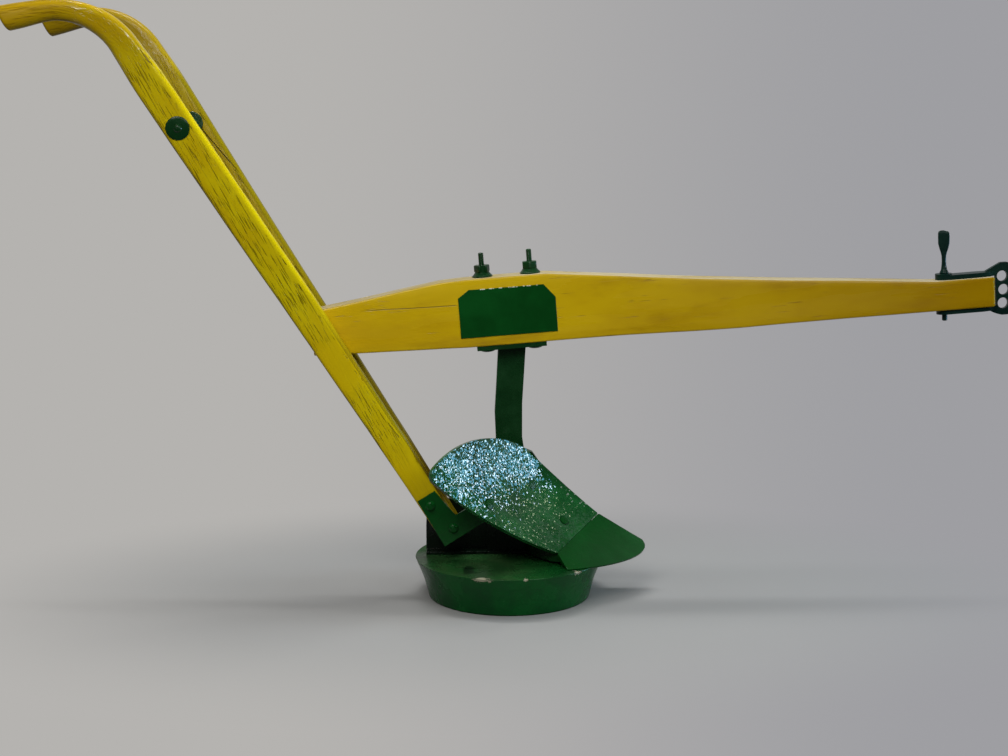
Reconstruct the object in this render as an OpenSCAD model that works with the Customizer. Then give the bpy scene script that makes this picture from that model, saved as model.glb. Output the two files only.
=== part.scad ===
// Moldboard plough for one horse, with wooden beam and handles, on its round cast plinth.
// +X is forward to the hitch, +Y is to the land side, +Z is up.
// The origin is the centre of the plinth's underside.

/* [Plinth] */
// Radius of the foot
plinth_foot_r = 148; // [120:1:155]
// Radius of the rim
plinth_rim_r = 172; // [160:1:200]
// Height
plinth_h = 73; // [50:1:100]
// Hollow of the side, inside a straight cone
plinth_cove = 2.2; // [1:0.1:6]
// Chamfer under the foot
plinth_foot_chamfer = 1.5; // [1:0.5:4]
// Chamfer along the rim
plinth_rim_chamfer = 1.2; // [0.6:0.1:2]

/* [Landside and share] */
// Distance of the landside's outer face from the centre plane
land_y = 36; // [32:0.5:42]
// Thickness of the landside plate
landside_t = 8; // [6:0.5:9]
// Height of the landside bar
landside_h = 58; // [45:1:62]
// Thickness of the landside's sole
sole_t = 5; // [4:0.5:8]
// Width of the landside's sole, inwards
sole_w = 24; // [18:1:30]
// Distance of the heel behind the plinth's centre
heel_x = 152; // [130:1:165]
// Thickness of the share where it meets the moldboard
share_back_t = 9; // [7:0.5:11]
// Thickness of the share at its cutting edge
share_edge_t = 3.5; // [2.5:0.5:5]
// Width of the seam between share and moldboard
seam_gap = 0.8; // [0.5:0.1:2]

/* [Moldboard] */
// Thickness of the moldboard plate
board_t = 7; // [5:0.5:9]
// Depth of the hollow in the moldboard's face
board_hollow = 20; // [10:1:24]
// Height of the shin's top corner above the plinth
shin_rise = 183; // [175:1:195]
// Height of the tail corner above the plinth
tail_rise = 189; // [170:1:200]
// Reach of the tail corner to the furrow side
tail_reach = 190; // [170:1:205]
// Rounding of the tail corner
tail_round = 13; // [6:1:20]
// Clearance between a bent plate's back and the casting that carries it
back_gap = 0.3; // [0.2:0.1:0.5]

/* [Standard] */
// Width of the column along the plough, at its waist
column_w = 48; // [40:1:56]
// Thickness of the column and of the web below it
column_t = 16; // [12:1:18]
// Length of the top flange
flange_l = 125; // [115:1:140]
// Width of the top flange
flange_w = 48; // [42:1:50]
// Thickness of the top flange
flange_t = 7.5; // [6:0.5:10]

/* [Beam] */
// Height of the beam's underside above the plinth, at the standard
beam_rise = 393; // [380:1:410]
// Slope of the beam's underside, in degrees
beam_slope = 4.3; // [3:0.1:6]
// Width of the beam
beam_w = 50; // [46:1:60]
// Offset of the beam's centre to the land side
beam_y = 5; // [0:0.5:8]
// Depth of the beam at the standard
beam_depth = 123; // [110:1:135]
// Width of the beam's nose
nose_w = 44; // [42:1:50]
// Depth of the beam's nose
nose_depth = 54.5; // [48:0.5:60]
// Drop of the nose's underside below the straight line
nose_drop = 3.5; // [0:0.5:5]
// Distance from the standard's centre to the hitch pin, along the beam
pin_x = 791; // [740:1:840]
// Distance from the standard's centre to the beam's rear end, along the beam
beam_back = 354; // [330:1:370]
// Chamfer along the beam's edges
beam_chamfer = 3; // [1:0.5:6]
// Spacing of the two beam bolts
bolt_pitch = 86; // [80:1:96]
// Radius of the beam bolts
bolt_r = 5; // [4:0.5:6]

/* [Handles] */
// Width of a handle, seen from the side
handle_w = 55; // [48:1:60]
// Width of a handle at its foot
handle_foot_w = 47; // [42:1:52]
// Bow of a handle's straight part, to the rear
handle_bow = 2.4; // [0:0.2:5]
// Thickness of a handle
handle_t = 30; // [26:1:34]
// Slope of the handles, in degrees
handle_slope = 57.9; // [55:0.1:60]
// Distance between the handles' centre planes at the rung
rung_spread = 204; // [170:2:230]
// Distance between the grips' ends
grip_spread = 334; // [300:2:360]
// Place of the rung along the handles
rung_along = 780; // [700:1:830]
// Shift of the rung across the handles, to the rear
rung_back = 3.1; // [0:0.1:6]
// Radius of the rung
rung_r = 12; // [9:0.5:15]
// Radius of the rung's collars and caps
rung_cap_r = 20.5; // [17:0.5:23]

/* [Handle bracket] */
// Thickness of the bracket plate
bracket_t = 6; // [4:0.5:8]
// Width of the bracket's arm
bracket_arm_w = 38; // [32:1:42]
// Radius of the bracket's bolt shanks
bracket_bolt_r = 4.5; // [3.5:0.5:5.5]

/* [Clevis] */
// Radius of the three hitch holes
hitch_r = 9.7; // [7:0.1:10]
// Pitch of the hitch holes
hitch_pitch = 24.7; // [23:0.1:28]
// Thickness of the clevis arms
clevis_arm_t = 8; // [7:0.5:12]
// Width of the clevis arms
clevis_arm_w = 30; // [26:1:36]
// Thickness of the upright plate with the hitch holes
hitch_plate_t = 8; // [7:0.5:12]
// Radius of the hitch pin
hitch_pin_r = 4.8; // [4.5:0.1:6]
// Play of the hitch pin in the clevis eyes
pin_play = 1.8; // [0.5:0.1:2.5]
// Lean of the hitch pin in its holes, in degrees
pin_lean = 1.2; // [0:0.1:1.5]
// Gap between the clevis arms and the beam's nose
arm_gap = 0.3; // [0.2:0.1:0.6]
// Gap between the beam's round end and the upright plate
swing_gap = 4.5; // [4:0.5:8]

/* [Hidden] */

wood_yellow = "goldenrod";
paint_green = "darkgreen";
plinth_green = "seagreen";
fine = 64;
hole_gap = 0.3;

ground_z = plinth_h;
landside_in_y = land_y - landside_t;
web_y0 = landside_in_y - column_t;

// Shared helpers
function mix(a, b, t) = a + (b - a) * t;
function unit(v) = v / norm(v);
function bez2(a, b, c, t) = (1 - t) * (1 - t) * a + 2 * t * (1 - t) * b + t * t * c;
function bez3(a, b, c, d, t) =
    pow(1 - t, 3) * a + 3 * t * pow(1 - t, 2) * b + 3 * t * t * (1 - t) * c + pow(t, 3) * d;

// Even steps from 0 to 1, with one more past each end if there is a spill
function stations(n, spill) = let (inner = [for (i = [0:n]) i / n])
    spill > 0 ? concat([-spill], inner, [1 + spill]) : inner;

// Faces of a closed shell of two grids with nu + 1 by nv + 1 points each, outer grid first
function shell_faces(nu, nv) =
    let (n = (nu + 1) * (nv + 1))
    concat(
        [for (i = [0:nu - 1], j = [0:nv - 1]) let (a = i * (nv + 1) + j, b = a + nv + 1)
            each [[a, b, b + 1], [a, b + 1, a + 1]]],
        [for (i = [0:nu - 1], j = [0:nv - 1]) let (a = n + i * (nv + 1) + j, b = a + nv + 1)
            each [[a, b + 1, b], [a, a + 1, b + 1]]],
        [for (i = [0:nu - 1]) let (a = i * (nv + 1), b = a + nv + 1)
            each [[a, n + b, b], [a, n + a, n + b]]],
        [for (i = [0:nu - 1]) let (a = i * (nv + 1) + nv, b = a + nv + 1)
            each [[a, b, n + b], [a, n + b, n + a]]],
        [for (j = [0:nv - 1]) let (a = j, b = j + 1)
            each [[a, b, n + b], [a, n + b, n + a]]],
        [for (j = [0:nv - 1]) let (a = nu * (nv + 1) + j, b = a + 1)
            each [[a, n + b, b], [a, n + a, n + b]]]);

// Faces of a closed tube of rings with m points each
function tube_faces(rings, m) = concat(
    [[for (k = [0:m - 1]) k]],
    [for (i = [0:rings - 2], k = [0:m - 1])
        let (a = i * m + k, b = i * m + (k + 1) % m)
        each [[a, a + m, b], [b, a + m, b + m]]],
    [[for (k = [m - 1:-1:0]) (rings - 1) * m + k]]);

// Moldboard: a patch between four edges, hollowed towards its back
seam_land = [167, land_y, ground_z + 67];
seam_wing = [83, -80, ground_z + 23];
shin_top = [44.5, land_y - 20, ground_z + shin_rise];
shin_pull = [111, land_y, ground_z + 114];
tail_tip = [-149, -tail_reach, ground_z + tail_rise];
lower_pull = [-47, -127, ground_z + 84];
top_pull_front = shin_top + [-30, -20, 37];
top_pull_rear = tail_tip + [69, 70, 85];
hollow_way = [-0.35, 0.85, -0.4];

function seam(u) = mix(seam_land, seam_wing, u);
function top_edge(u) = bez3(shin_top, top_pull_front, top_pull_rear, tail_tip, u);
function shin(v) = bez2(seam_land, shin_pull, shin_top, v);
function lower_edge(v) = bez2(seam_wing, lower_pull, tail_tip, v);
function board(u, v) =
    (1 - v) * seam(u) + v * top_edge(u) + (1 - u) * shin(v) + u * lower_edge(v)
    - (1 - u) * (1 - v) * seam_land - u * (1 - v) * seam_wing
    - (1 - u) * v * shin_top - u * v * tail_tip
    + board_hollow * 16 * u * (1 - u) * v * (1 - v) * hollow_way;
function board_normal(u, v) =
    let (d = 0.01, a = min(max(u, 0.06), 0.96), b = min(max(v, 0.03), 0.88))
    unit(cross(board(a, b + d) - board(a, b - d), board(a + d, b) - board(a - d, b)));

cut_front = 40;
seam_cut = 0.004;
board_nu = 14;
board_nv = 14;

// The patch between two offsets along its normal; spill widens it past its edges
module board_layer(front, back, spill) {
    us = stations(board_nu, spill);
    vs = stations(board_nv, spill);
    grid = [for (u = us, v = vs) [u, v]];
    points = concat(
        [for (g = grid) board(g[0], g[1]) + front * board_normal(g[0], g[1])],
        [for (g = grid) board(g[0], g[1]) + back * board_normal(g[0], g[1])]);
    polyhedron(points, shell_faces(len(us) - 1, len(vs) - 1), convexity = 4);
}

// Share: ruled from the cutting edge, round its blunt nose, up to the seam
nose_land = [250, land_y, ground_z + 16];
nose_pull = [275, land_y - 28, ground_z - 11];
wing_pull = [170, -103, ground_z + 4];
wing_tip = [99, -114, ground_z + 1];

function cutting_edge(u) = bez3(nose_land, nose_pull, wing_pull, wing_tip, u);
function share_face(u, w) = mix(cutting_edge(u), seam(u) + seam_gap * share_way, w);
function share_normal(u, w) =
    let (d = 0.01)
    unit(cross(share_face(u, w + d) - share_face(u, w - d), share_face(u + d, w) - share_face(u - d, w)));

share_way = [0.79, -0.61, 0];
share_nu = 16;
share_nw = 4;

module share_layer(front, back_edge, back_seam, spill) {
    us = stations(share_nu, spill);
    ws = stations(share_nw, spill);
    grid = [for (u = us, w = ws) [u, w]];
    points = concat(
        [for (g = grid) share_face(g[0], g[1]) + front * share_normal(g[0], g[1])],
        [for (g = grid) share_face(g[0], g[1])
            - mix(back_edge, back_seam, g[1]) * share_normal(g[0], g[1])]);
    polyhedron(points, shell_faces(len(us) - 1, len(ws) - 1), convexity = 4);
}

// Everything past the land side's outer face, cut off both bent plates
module past_land() {
    translate([-200, land_y, 0]) cube([600, 60, 500]);
}

module plinth() {
    foot = [plinth_foot_r, plinth_foot_chamfer];
    rim = [plinth_rim_r, plinth_h - plinth_rim_chamfer];
    chord = norm(rim - foot);
    side_r = (chord * chord / 4 + plinth_cove * plinth_cove) / (2 * plinth_cove);
    out = [rim[1] - foot[1], foot[0] - rim[0]] / chord;
    color(plinth_green) rotate_extrude($fn = 96) difference() {
        polygon([[0, 0], [foot[0] - plinth_foot_chamfer, 0], foot, rim,
            [rim[0] - plinth_rim_chamfer, plinth_h], [0, plinth_h]]);
        translate((foot + rim) / 2 + (side_r - plinth_cove) * out) circle(r = side_r, $fn = 180);
    }
}

// Handle frame: origin on the centre line at the bracket, along rises to the grips
handle_x = -150.4;
handle_z = ground_z + 123;
along_dir = [-cos(handle_slope), sin(handle_slope)];
front_dir = [sin(handle_slope), cos(handle_slope)];
handle_end = -92;
bend_along = 938;
bend_r = 120;
bend_turn = 32.7;
grip_bend_r = 130;
grip_turn = 37;
grip_straight = 66;
bend_end = bend_along + bend_r * bend_turn * PI / 180;
grip_bend_end = bend_end + grip_bend_r * grip_turn * PI / 180;
handle_tip = grip_bend_end + grip_straight;

function run(p, way, s) = p + s * [-cos(way), sin(way)];
function arc_end(p, way, r, turn) =
    p + r * [-(sin(way) - sin(way - turn)), cos(way - turn) - cos(way)];

bend_start_p = run([handle_x, handle_z], handle_slope, bend_along);
bend_end_p = arc_end(bend_start_p, handle_slope, bend_r, bend_turn);
grip_way = handle_slope - bend_turn;
grip_bend_p = arc_end(bend_end_p, grip_way, grip_bend_r, grip_turn);

function handle_heading(s) =
    s <= bend_along ? handle_slope :
    s <= bend_end ? handle_slope - (s - bend_along) / bend_r * 180 / PI :
    s <= grip_bend_end ? grip_way - (s - bend_end) / grip_bend_r * 180 / PI :
    grip_way - grip_turn;
function handle_centre(s) =
    s <= bend_along ? run([handle_x, handle_z], handle_slope, s) :
    s <= bend_end ? arc_end(bend_start_p, handle_slope, bend_r, handle_slope - handle_heading(s)) :
    s <= grip_bend_end ? arc_end(bend_end_p, grip_way, grip_bend_r, grip_way - handle_heading(s)) :
    run(grip_bend_p, grip_way - grip_turn, s - grip_bend_end);

// Where the handles lie flat: on the landside at their foot, and on the beam's cheeks
foot_flat = 12;
bow_start = 100;
beam_flat_start = 283;
beam_flat_end = 404;
beam_half = (beam_w + handle_t) / 2;
heel_handle_y = landside_in_y - handle_t / 2;

// Half the distance between the handles along their length, and each one's sideways place
rung_flat = 60;
rung_slope = (rung_spread / 2 - beam_half) / (rung_along - beam_flat_end);
function spread(s) = lookup(s, [[beam_flat_end, beam_half],
    [rung_along + rung_flat, rung_spread / 2 + rung_flat * rung_slope], [handle_tip, grip_spread / 2]]);
function right_y(s) = beam_y - spread(s);
function left_y(s) = s > beam_flat_start ? beam_y + spread(s) :
    lookup(s, [[handle_end, heel_handle_y], [foot_flat, heel_handle_y], [beam_flat_start, beam_y + beam_half]]);

// Bow of the straight part
function bow(s) = s < bow_start || s > bend_along ? 0 :
    -handle_bow * sin(180 * (s - bow_start) / (bend_along - bow_start));

// Section of a handle along its length: width, thickness and corner radius
function section_w(s) = lookup(s, [[130, handle_foot_w], [beam_flat_end, handle_w],
    [bend_along - 66, handle_w], [bend_end, 40], [grip_bend_end - 30, 34],
    [handle_tip - 22, 42], [handle_tip - 8, 38], [handle_tip - 2, 28], [handle_tip, 16]]);
function section_t(s) = lookup(s, [[bend_along - 60, handle_t], [grip_bend_end - 30, 32],
    [handle_tip - 22, 38], [handle_tip - 8, 35], [handle_tip - 2, 26], [handle_tip, 14]]);
function corner_r(s) = lookup(s, [[100, 1.5], [150, 6.5], [bend_along - 66, 8], [bend_along, 11],
    [bend_end, 14], [grip_bend_end - 30, 15.4], [handle_tip - 22, 17.6],
    [handle_tip - 8, 16.4], [handle_tip - 2, 12.2], [handle_tip, 6.4]]);

// One ring of a round-cornered section, 16 points
function ring(w, t, r) = [for (q = [0:3], k = [0:3])
    let (a = 90 * q + 30 * k, sx = (q == 0 || q == 3) ? 1 : -1, sy = q < 2 ? 1 : -1)
    [sx * (w / 2 - r) + r * cos(a), sy * (t / 2 - r) + r * sin(a)]];

handle_stations = concat([handle_end, foot_flat, 100, 130, 150, 200, beam_flat_start, 340, beam_flat_end, 480,
    560, 640, 720, rung_along + rung_flat, bend_along - 66, bend_along - 30],
    [for (k = [0:6]) mix(bend_along, bend_end, k / 6)],
    [for (k = [1:8]) mix(bend_end, grip_bend_end, k / 8)],
    [handle_tip - 40, handle_tip - 22, handle_tip - 8, handle_tip - 2, handle_tip]);

module handle_sweep(side) {
    points = [for (s = handle_stations)
        let (c = handle_centre(s) + bow(s) * front_dir, way = handle_heading(s),
            y = side < 0 ? right_y(s) : left_y(s))
        each [for (p = ring(section_w(s), section_t(s), corner_r(s)))
            [c[0] + p[0] * sin(way), y + p[1], c[1] + p[0] * cos(way)]]];
    polyhedron(points, tube_faces(len(handle_stations), 16), convexity = 6);
}

// A place given along and across the handles becomes a place in the plough's frame
function on_handle(s, t) = [handle_x, handle_z] + s * along_dir + t * front_dir;
module at_handle(s, t, y) {
    p = on_handle(s, t);
    translate([p[0], y, p[1]]) children();
}

// Slope of a handle sideways at the rung, and its pieces' tilt
rung_splay = atan(rung_slope);

// Beam frame: +X along the underside, origin above the standard
beam_x = 4.5;
beam_z = ground_z + beam_rise;
module in_beam() {
    translate([beam_x, beam_y, beam_z]) rotate([0, -beam_slope, 0]) children();
}

nose_end_r = 89.5;
nose_top = nose_depth - nose_drop;

// Stations of the beam: place along it, height of underside, height of top, width
beam_sections = [
    [-beam_back, 8, 88, beam_w],
    [-265, 5.3, 100, beam_w],
    [-206, 4, 109, beam_w],
    [-118, 1.8, beam_depth - 1.5, beam_w],
    [-80, 0, beam_depth, beam_w],
    [68, 0, beam_depth, beam_w],
    [201, 0, 108, beam_w],
    [328, -2.8, 93, beam_w],
    [420, -4.2, 83.7, mix(beam_w, nose_w, 0.3)],
    [500, -3, 76, mix(beam_w, nose_w, 0.5)],
    [670, -nose_drop + 0.3, 60.3, nose_w],
    [pin_x - 46, -nose_drop, nose_top + 2.5, nose_w],
    [pin_x - 22, -nose_drop, nose_top, nose_w],
    [pin_x + nose_end_r + 5, -nose_drop, nose_top, nose_w]];

function beam_ring(x, lo, hi, w) = let (h = w / 2, c = beam_chamfer)
    [[x, -h + c, lo], [x, h - c, lo], [x, h, lo + c], [x, h, hi - c],
     [x, h - c, hi], [x, -h + c, hi], [x, -h, hi - c], [x, -h, lo + c]];

// Half section of the nose's round end, with rounded edges
module nose_end_profile() {
    e = 5;
    square([nose_end_r - e, nose_depth]);
    translate([0, e]) square([nose_end_r, nose_depth - 2 * e]);
    for (z = [e, nose_depth - e]) translate([nose_end_r - e, z]) circle(r = e, $fn = 48);
}

module beam() {
    color(wood_yellow) in_beam() difference() {
        intersection() {
            polyhedron([for (b = beam_sections) each beam_ring(b[0], b[1], b[2], b[3])],
                tube_faces(len(beam_sections), 8), convexity = 4);
            union() {
                translate([-beam_back - 1, -beam_w, -50]) cube([beam_back + pin_x, 2 * beam_w, 300]);
                translate([pin_x, 0, -nose_drop]) rotate_extrude($fn = 128) nose_end_profile();
            }
        }
        for (x = [-bolt_pitch / 2, bolt_pitch / 2])
            translate([x, 0, -5]) cylinder(r = bolt_r + hole_gap, h = beam_depth + 10, $fn = fine);
        translate([pin_x, 0, -20]) cylinder(r = nose_hole_r, h = nose_depth + 30, $fn = fine);
    }
}

// Front edge of the web, a little behind the shin
function web_front(v) = bez2(seam_land + [-5, 0, -3], shin_pull + [-12, 0, -10], [43.5, land_y, ground_z + 188.5], v);

// Column and web: drift of the two edges from the waist, each with its height, then the web's foot
column_rear = [[-1, 128], [0.5, 218], [-1.5, 265], [2, 325]];
column_front = [[4, 340], [0.5, 280], [0.5, 218], [4, 195]];
web_x = 150;
web_back = 40;
web_shoulder = 60;

// Column and web outline, x and z
module column_outline() {
    top_z = beam_z - flange_t;
    w = column_w / 2;
    polygon(concat([for (q = column_rear) [-w + q[0], ground_z + q[1]]], [[-w + 5, top_z + 2], [w + 7, top_z + 2]],
        [for (q = column_front) [w + q[0], ground_z + q[1]]],
        [for (k = [10:-1:0]) let (p = web_front(k / 10)) [p[0], p[2]]],
        [[web_x, ground_z + sole_t], [-web_back, ground_z + sole_t], [-web_back, ground_z + web_shoulder]]));
}

// Cast standard: top flange, column, web, share seat, and the lug for the handle bracket
seat_x = 30;
seat_h = 58;
seat_outline = [[128, -40], [96, -78], [74, -70], [44, -30]];
rib_z = ground_z + 150;
rib_t = 10;
rib_x = 22;
rib_front = 46;
rib_tip = 8;
rib_y = -62;
lug_r = 13;
lug_x = -24;
lug_z = ground_z + 115;
lug_y = beam_y - beam_half - handle_t / 2;
module standard() {
    color(paint_green) difference() {
        union() {
            translate([0, web_y0 + column_t, 0]) rotate([90, 0, 0])
                linear_extrude(column_t) column_outline();
            in_beam() difference() {
                translate([-flange_l / 2, -flange_w / 2, -flange_t]) cube([flange_l, flange_w, flange_t]);
                for (x = [-bolt_pitch / 2, bolt_pitch / 2])
                    translate([x, 0, -flange_t - 1]) cylinder(r = bolt_r + hole_gap, h = flange_t + 2, $fn = fine);
            }
            translate([0, 0, ground_z + sole_t]) linear_extrude(seat_h)
                polygon(concat([[seat_x, web_y0 + 1], [web_x, web_y0 + 1]], seat_outline));
            translate([lug_x, web_y0 + 1, lug_z]) rotate([90, 0, 0])
                cylinder(r = lug_r, h = web_y0 + 1 - lug_y, $fn = fine);
            translate([0, 0, rib_z]) linear_extrude(rib_t)
                polygon([[-rib_x, web_y0 + 1], [rib_front, web_y0 + 1], [-rib_tip, rib_y], [-rib_x - rib_t, rib_y]]);
        }
        board_layer(cut_front, -board_t - back_gap, 0.03);
        share_layer(cut_front, share_edge_t + back_gap, share_back_t + back_gap, 0.04);
        translate([lug_x, lug_y + 20, lug_z]) rotate([90, 0, 0])
            cylinder(r = bracket_bolt_r + hole_gap, h = 30, $fn = fine);
    }
}

// Removes a sharp corner of a plate outside a rounding; a and b are the ways of its two edges
module round_corner(tip, a, b, r) {
    inward = unit(unit(a) + unit(b));
    across = unit(cross(cross(a, b), inward));
    out = cross(inward, across);
    half = acos(unit(a) * inward);
    multmatrix([for (k = [0:2]) [inward[k], across[k], out[k], tip[k]]]) difference() {
        translate([-6, -2 * r, -30]) cube([6 + r * cos(half) * cos(half) / sin(half), 4 * r, 60]);
        translate([r / sin(half), 0, -31]) cylinder(r = r, h = 62, $fn = fine);
    }
}

module moldboard() {
    color(paint_green) difference() {
        board_layer(0, -board_t, 0);
        past_land();
        round_corner(tail_tip, top_pull_rear - tail_tip, lower_pull - tail_tip, tail_round);
    }
}

module share() {
    color(paint_green) difference() {
        share_layer(0, share_edge_t, share_back_t, 0);
        board_layer(board_t, -share_back_t - board_t, seam_cut);
        past_land();
        translate([0, 0, ground_z / 2]) cylinder(r = plinth_rim_r + 1, h = ground_z / 2 + hole_gap, $fn = 128);
    }
}

// Bolts that hold the left handle to the landside, along and across the handle
heel_bolt_places = [[-76, 3], [-46, 3]];

// Landside outline: ear for the left handle, bar and toe
ear_x = 78;
ear_z = 100;
ear_bend = 20;
heel_lean = 2;
bar_x = 118;
toe_x = 201;
toe_z = 30;

module landside() {
    color(paint_green) difference() {
        union() {
            translate([0, land_y, 0]) rotate([90, 0, 0]) linear_extrude(landside_t)
                polygon([[-heel_x, ground_z], [-heel_x, ground_z + ear_z / 2],
                    [-heel_x + heel_lean, ground_z + ear_z], [-ear_x, ground_z + ear_z], [-ear_x + ear_bend, ground_z + landside_h],
                    [bar_x, ground_z + landside_h], [toe_x, ground_z + toe_z], [toe_x + heel_lean, ground_z]]);
            translate([-heel_x, landside_in_y - sole_w, ground_z]) cube([heel_x + bar_x, sole_w + 1, sole_t]);
        }
        board_layer(cut_front, -board_t - back_gap, 0.03);
        share_layer(cut_front, share_edge_t + back_gap, share_back_t + back_gap, 0.04);
        for (b = heel_bolt_places) at_handle(b[0], b[1], land_y + 1) rotate([90, 0, 0])
            cylinder(r = bracket_bolt_r + hole_gap, h = landside_t + 2, $fn = fine);
    }
}

name_l = 174;
name_lo = 18;
name_hi = 104;
name_t = 2;
name_clip = 20;
name_back = 3;
module nameplate() {
    rear = -name_l / 2 - name_back;
    front = name_l / 2 - name_back;
    color(paint_green) in_beam() translate([0, -beam_w / 2, 0]) rotate([90, 0, 0]) linear_extrude(name_t)
        polygon([[rear, name_lo], [front, name_lo], [front, name_hi - name_clip - 4],
            [front - name_clip, name_hi], [rear + name_clip, name_hi], [rear, name_hi - name_clip + 6]]);
}

washer_h = 9;
washer_r = 18.5;
nut_h = 12.5;
nut_r = 14.5;
stud_over = 22;
beam_head_r = 14.5;
beam_head_h = 6;
module beam_bolts() {
    color(paint_green) in_beam() for (x = [-bolt_pitch / 2, bolt_pitch / 2]) translate([x, 0, 0]) {
        translate([0, 0, -flange_t - beam_head_h]) {
            cylinder(r1 = beam_head_r - 6.5, r2 = beam_head_r - 1, h = beam_head_h / 2, $fn = fine);
            translate([0, 0, beam_head_h / 2]) cylinder(r = beam_head_r, h = beam_head_h / 2, $fn = fine);
        }
        translate([0, 0, -flange_t - 1])
            cylinder(r = bolt_r, h = flange_t + 1 + beam_depth + washer_h + nut_h + stud_over, $fn = fine);
    }
}
module beam_washers() {
    color(paint_green) in_beam() for (x = [-bolt_pitch / 2, bolt_pitch / 2]) translate([x, 0, beam_depth])
        difference() {
            union() {
                cylinder(r = washer_r, h = 2, $fn = fine);
                translate([0, 0, 2]) cylinder(r1 = washer_r, r2 = 12.5, h = washer_h - 2, $fn = fine);
            }
            translate([0, 0, -1]) cylinder(r = bolt_r + hole_gap, h = washer_h + 2, $fn = fine);
        }
}
module beam_nuts() {
    color(paint_green) in_beam() for (x = [-bolt_pitch / 2, bolt_pitch / 2])
        translate([x, 0, beam_depth + washer_h]) difference() {
            cylinder(r = nut_r, h = nut_h, $fn = 6);
            translate([0, 0, -1]) cylinder(r = bolt_r + hole_gap, h = nut_h + 2, $fn = fine);
        }
}

// Bolts of the right handle's bracket, along and across the handle
bracket_bolt_places = [[-18, -3.6], [-75, 9.4]];

module handle_right() {
    color(wood_yellow) difference() {
        handle_sweep(-1);
        for (b = bracket_bolt_places) at_handle(b[0], b[1], 0) rotate([90, 0, 0])
            cylinder(r = bracket_bolt_r + hole_gap, h = 100, $fn = fine);
        rung_hole(-1);
    }
}
module handle_left() {
    color(wood_yellow) difference() {
        handle_sweep(1);
        for (b = heel_bolt_places) at_handle(b[0], b[1], 40) rotate([90, 0, 0])
            cylinder(r = bracket_bolt_r + hole_gap, h = 100, $fn = fine);
        rung_hole(1);
    }
}

rung_bolt_r = 6;
module rung_hole(side) {
    on_splay(side) translate([0, 0, -handle_t]) cylinder(r = rung_bolt_r + hole_gap, h = 2 * handle_t, $fn = fine);
}

// At the rung's centre in a handle, with +Z out along the handle's side face
module on_splay(side) {
    p = on_handle(rung_along, -rung_back);
    translate([p[0], beam_y + side * rung_spread / 2, p[1]])
        multmatrix(m = splay_matrix(side)) children();
}
function splay_matrix(side) =
    let (a = rung_splay,
        f = [front_dir[0], 0, front_dir[1]],
        along = [along_dir[0] * cos(a), side * sin(a), along_dir[1] * cos(a)],
        out = side * cross(along, f),
        flip = cross(out, f))
    [[f[0], flip[0], out[0], 0], [f[1], flip[1], out[1], 0], [f[2], flip[2], out[2], 0], [0, 0, 0, 1]];

face_out = handle_t / 2 * cos(rung_splay);
cap_h = 8;
collar_h = 6;
module rung() {
    p = on_handle(rung_along, -rung_back);
    color(paint_green) {
        difference() {
            translate([p[0], beam_y + rung_spread / 2 - handle_t / 2 - 2, p[1]]) rotate([90, 0, 0])
                cylinder(r = rung_r, h = rung_spread - handle_t - 4, $fn = fine);
            for (side = [-1, 1]) on_splay(side)
                translate([-60, -60, -face_out - collar_h]) cube([120, 120, 60]);
        }
        for (side = [-1, 1]) on_splay(side) translate([0, 0, -face_out - collar_h])
            cylinder(r = rung_cap_r, h = collar_h, $fn = fine);
    }
}
module rung_caps() {
    color(paint_green) for (side = [-1, 1]) on_splay(side) {
        translate([0, 0, face_out]) cylinder(r = rung_cap_r, h = 3, $fn = fine);
        translate([0, 0, face_out + 3]) cylinder(r1 = rung_cap_r, r2 = 9, h = cap_h - 3, $fn = fine);
        translate([0, 0, -face_out]) cylinder(r = rung_bolt_r, h = 2 * face_out + 1, $fn = fine);
    }
}

bracket_y = lug_y;
arm_end = 113;
module handle_bracket() {
    arm_low = -95;
    arm_high = arm_low + bracket_arm_w;
    outline = [[arm_low, -21.6], [arm_low, arm_end], [arm_high, arm_end], [arm_high, 25.4],
        [1, 17.4], [1, -18.6]];
    color(paint_green) difference() {
        translate([0, bracket_y, 0]) rotate([90, 0, 0]) linear_extrude(bracket_t)
            polygon([for (q = outline) on_handle(q[0], q[1])]);
        for (b = bracket_bolt_places) at_handle(b[0], b[1], bracket_y + 1) rotate([90, 0, 0])
            cylinder(r = bracket_bolt_r + hole_gap, h = bracket_t + 2, $fn = fine);
        translate([lug_x, bracket_y + 1, lug_z]) rotate([90, 0, 0])
            cylinder(r = bracket_bolt_r + hole_gap, h = bracket_t + 2, $fn = fine);
    }
}

bolt_head_r = 9.3;
bolt_head_h = 4;
bolt_nut_h = 6;

// A bolt along Y: head towards the furrow side at head_y, nut against nut_y
module cross_bolt(head_y, nut_y) {
    translate([0, head_y, 0]) rotate([90, 0, 0]) {
        cylinder(r = bolt_head_r, h = 1.5, $fn = fine);
        translate([0, 0, 1.5]) cylinder(r1 = bolt_head_r, r2 = 5, h = bolt_head_h - 1.5, $fn = fine);
    }
    translate([0, nut_y + bolt_nut_h, 0]) rotate([90, 0, 0]) {
        cylinder(r = bracket_bolt_r, h = nut_y + bolt_nut_h - head_y + 1, $fn = fine);
        cylinder(r = bolt_head_r, h = bolt_nut_h, $fn = 6);
    }
}
module bracket_bolts() {
    head_y = bracket_y - bracket_t;
    color(paint_green) {
        for (b = bracket_bolt_places) at_handle(b[0], b[1], 0)
            cross_bolt(head_y, bracket_y + handle_t);
        translate([lug_x, head_y, lug_z]) rotate([90, 0, 0]) {
            cylinder(r = bolt_head_r, h = 3, $fn = 6);
            translate([0, 0, -bracket_t - 8]) cylinder(r = bracket_bolt_r, h = bracket_t + 9, $fn = fine);
        }
    }
}
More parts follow.
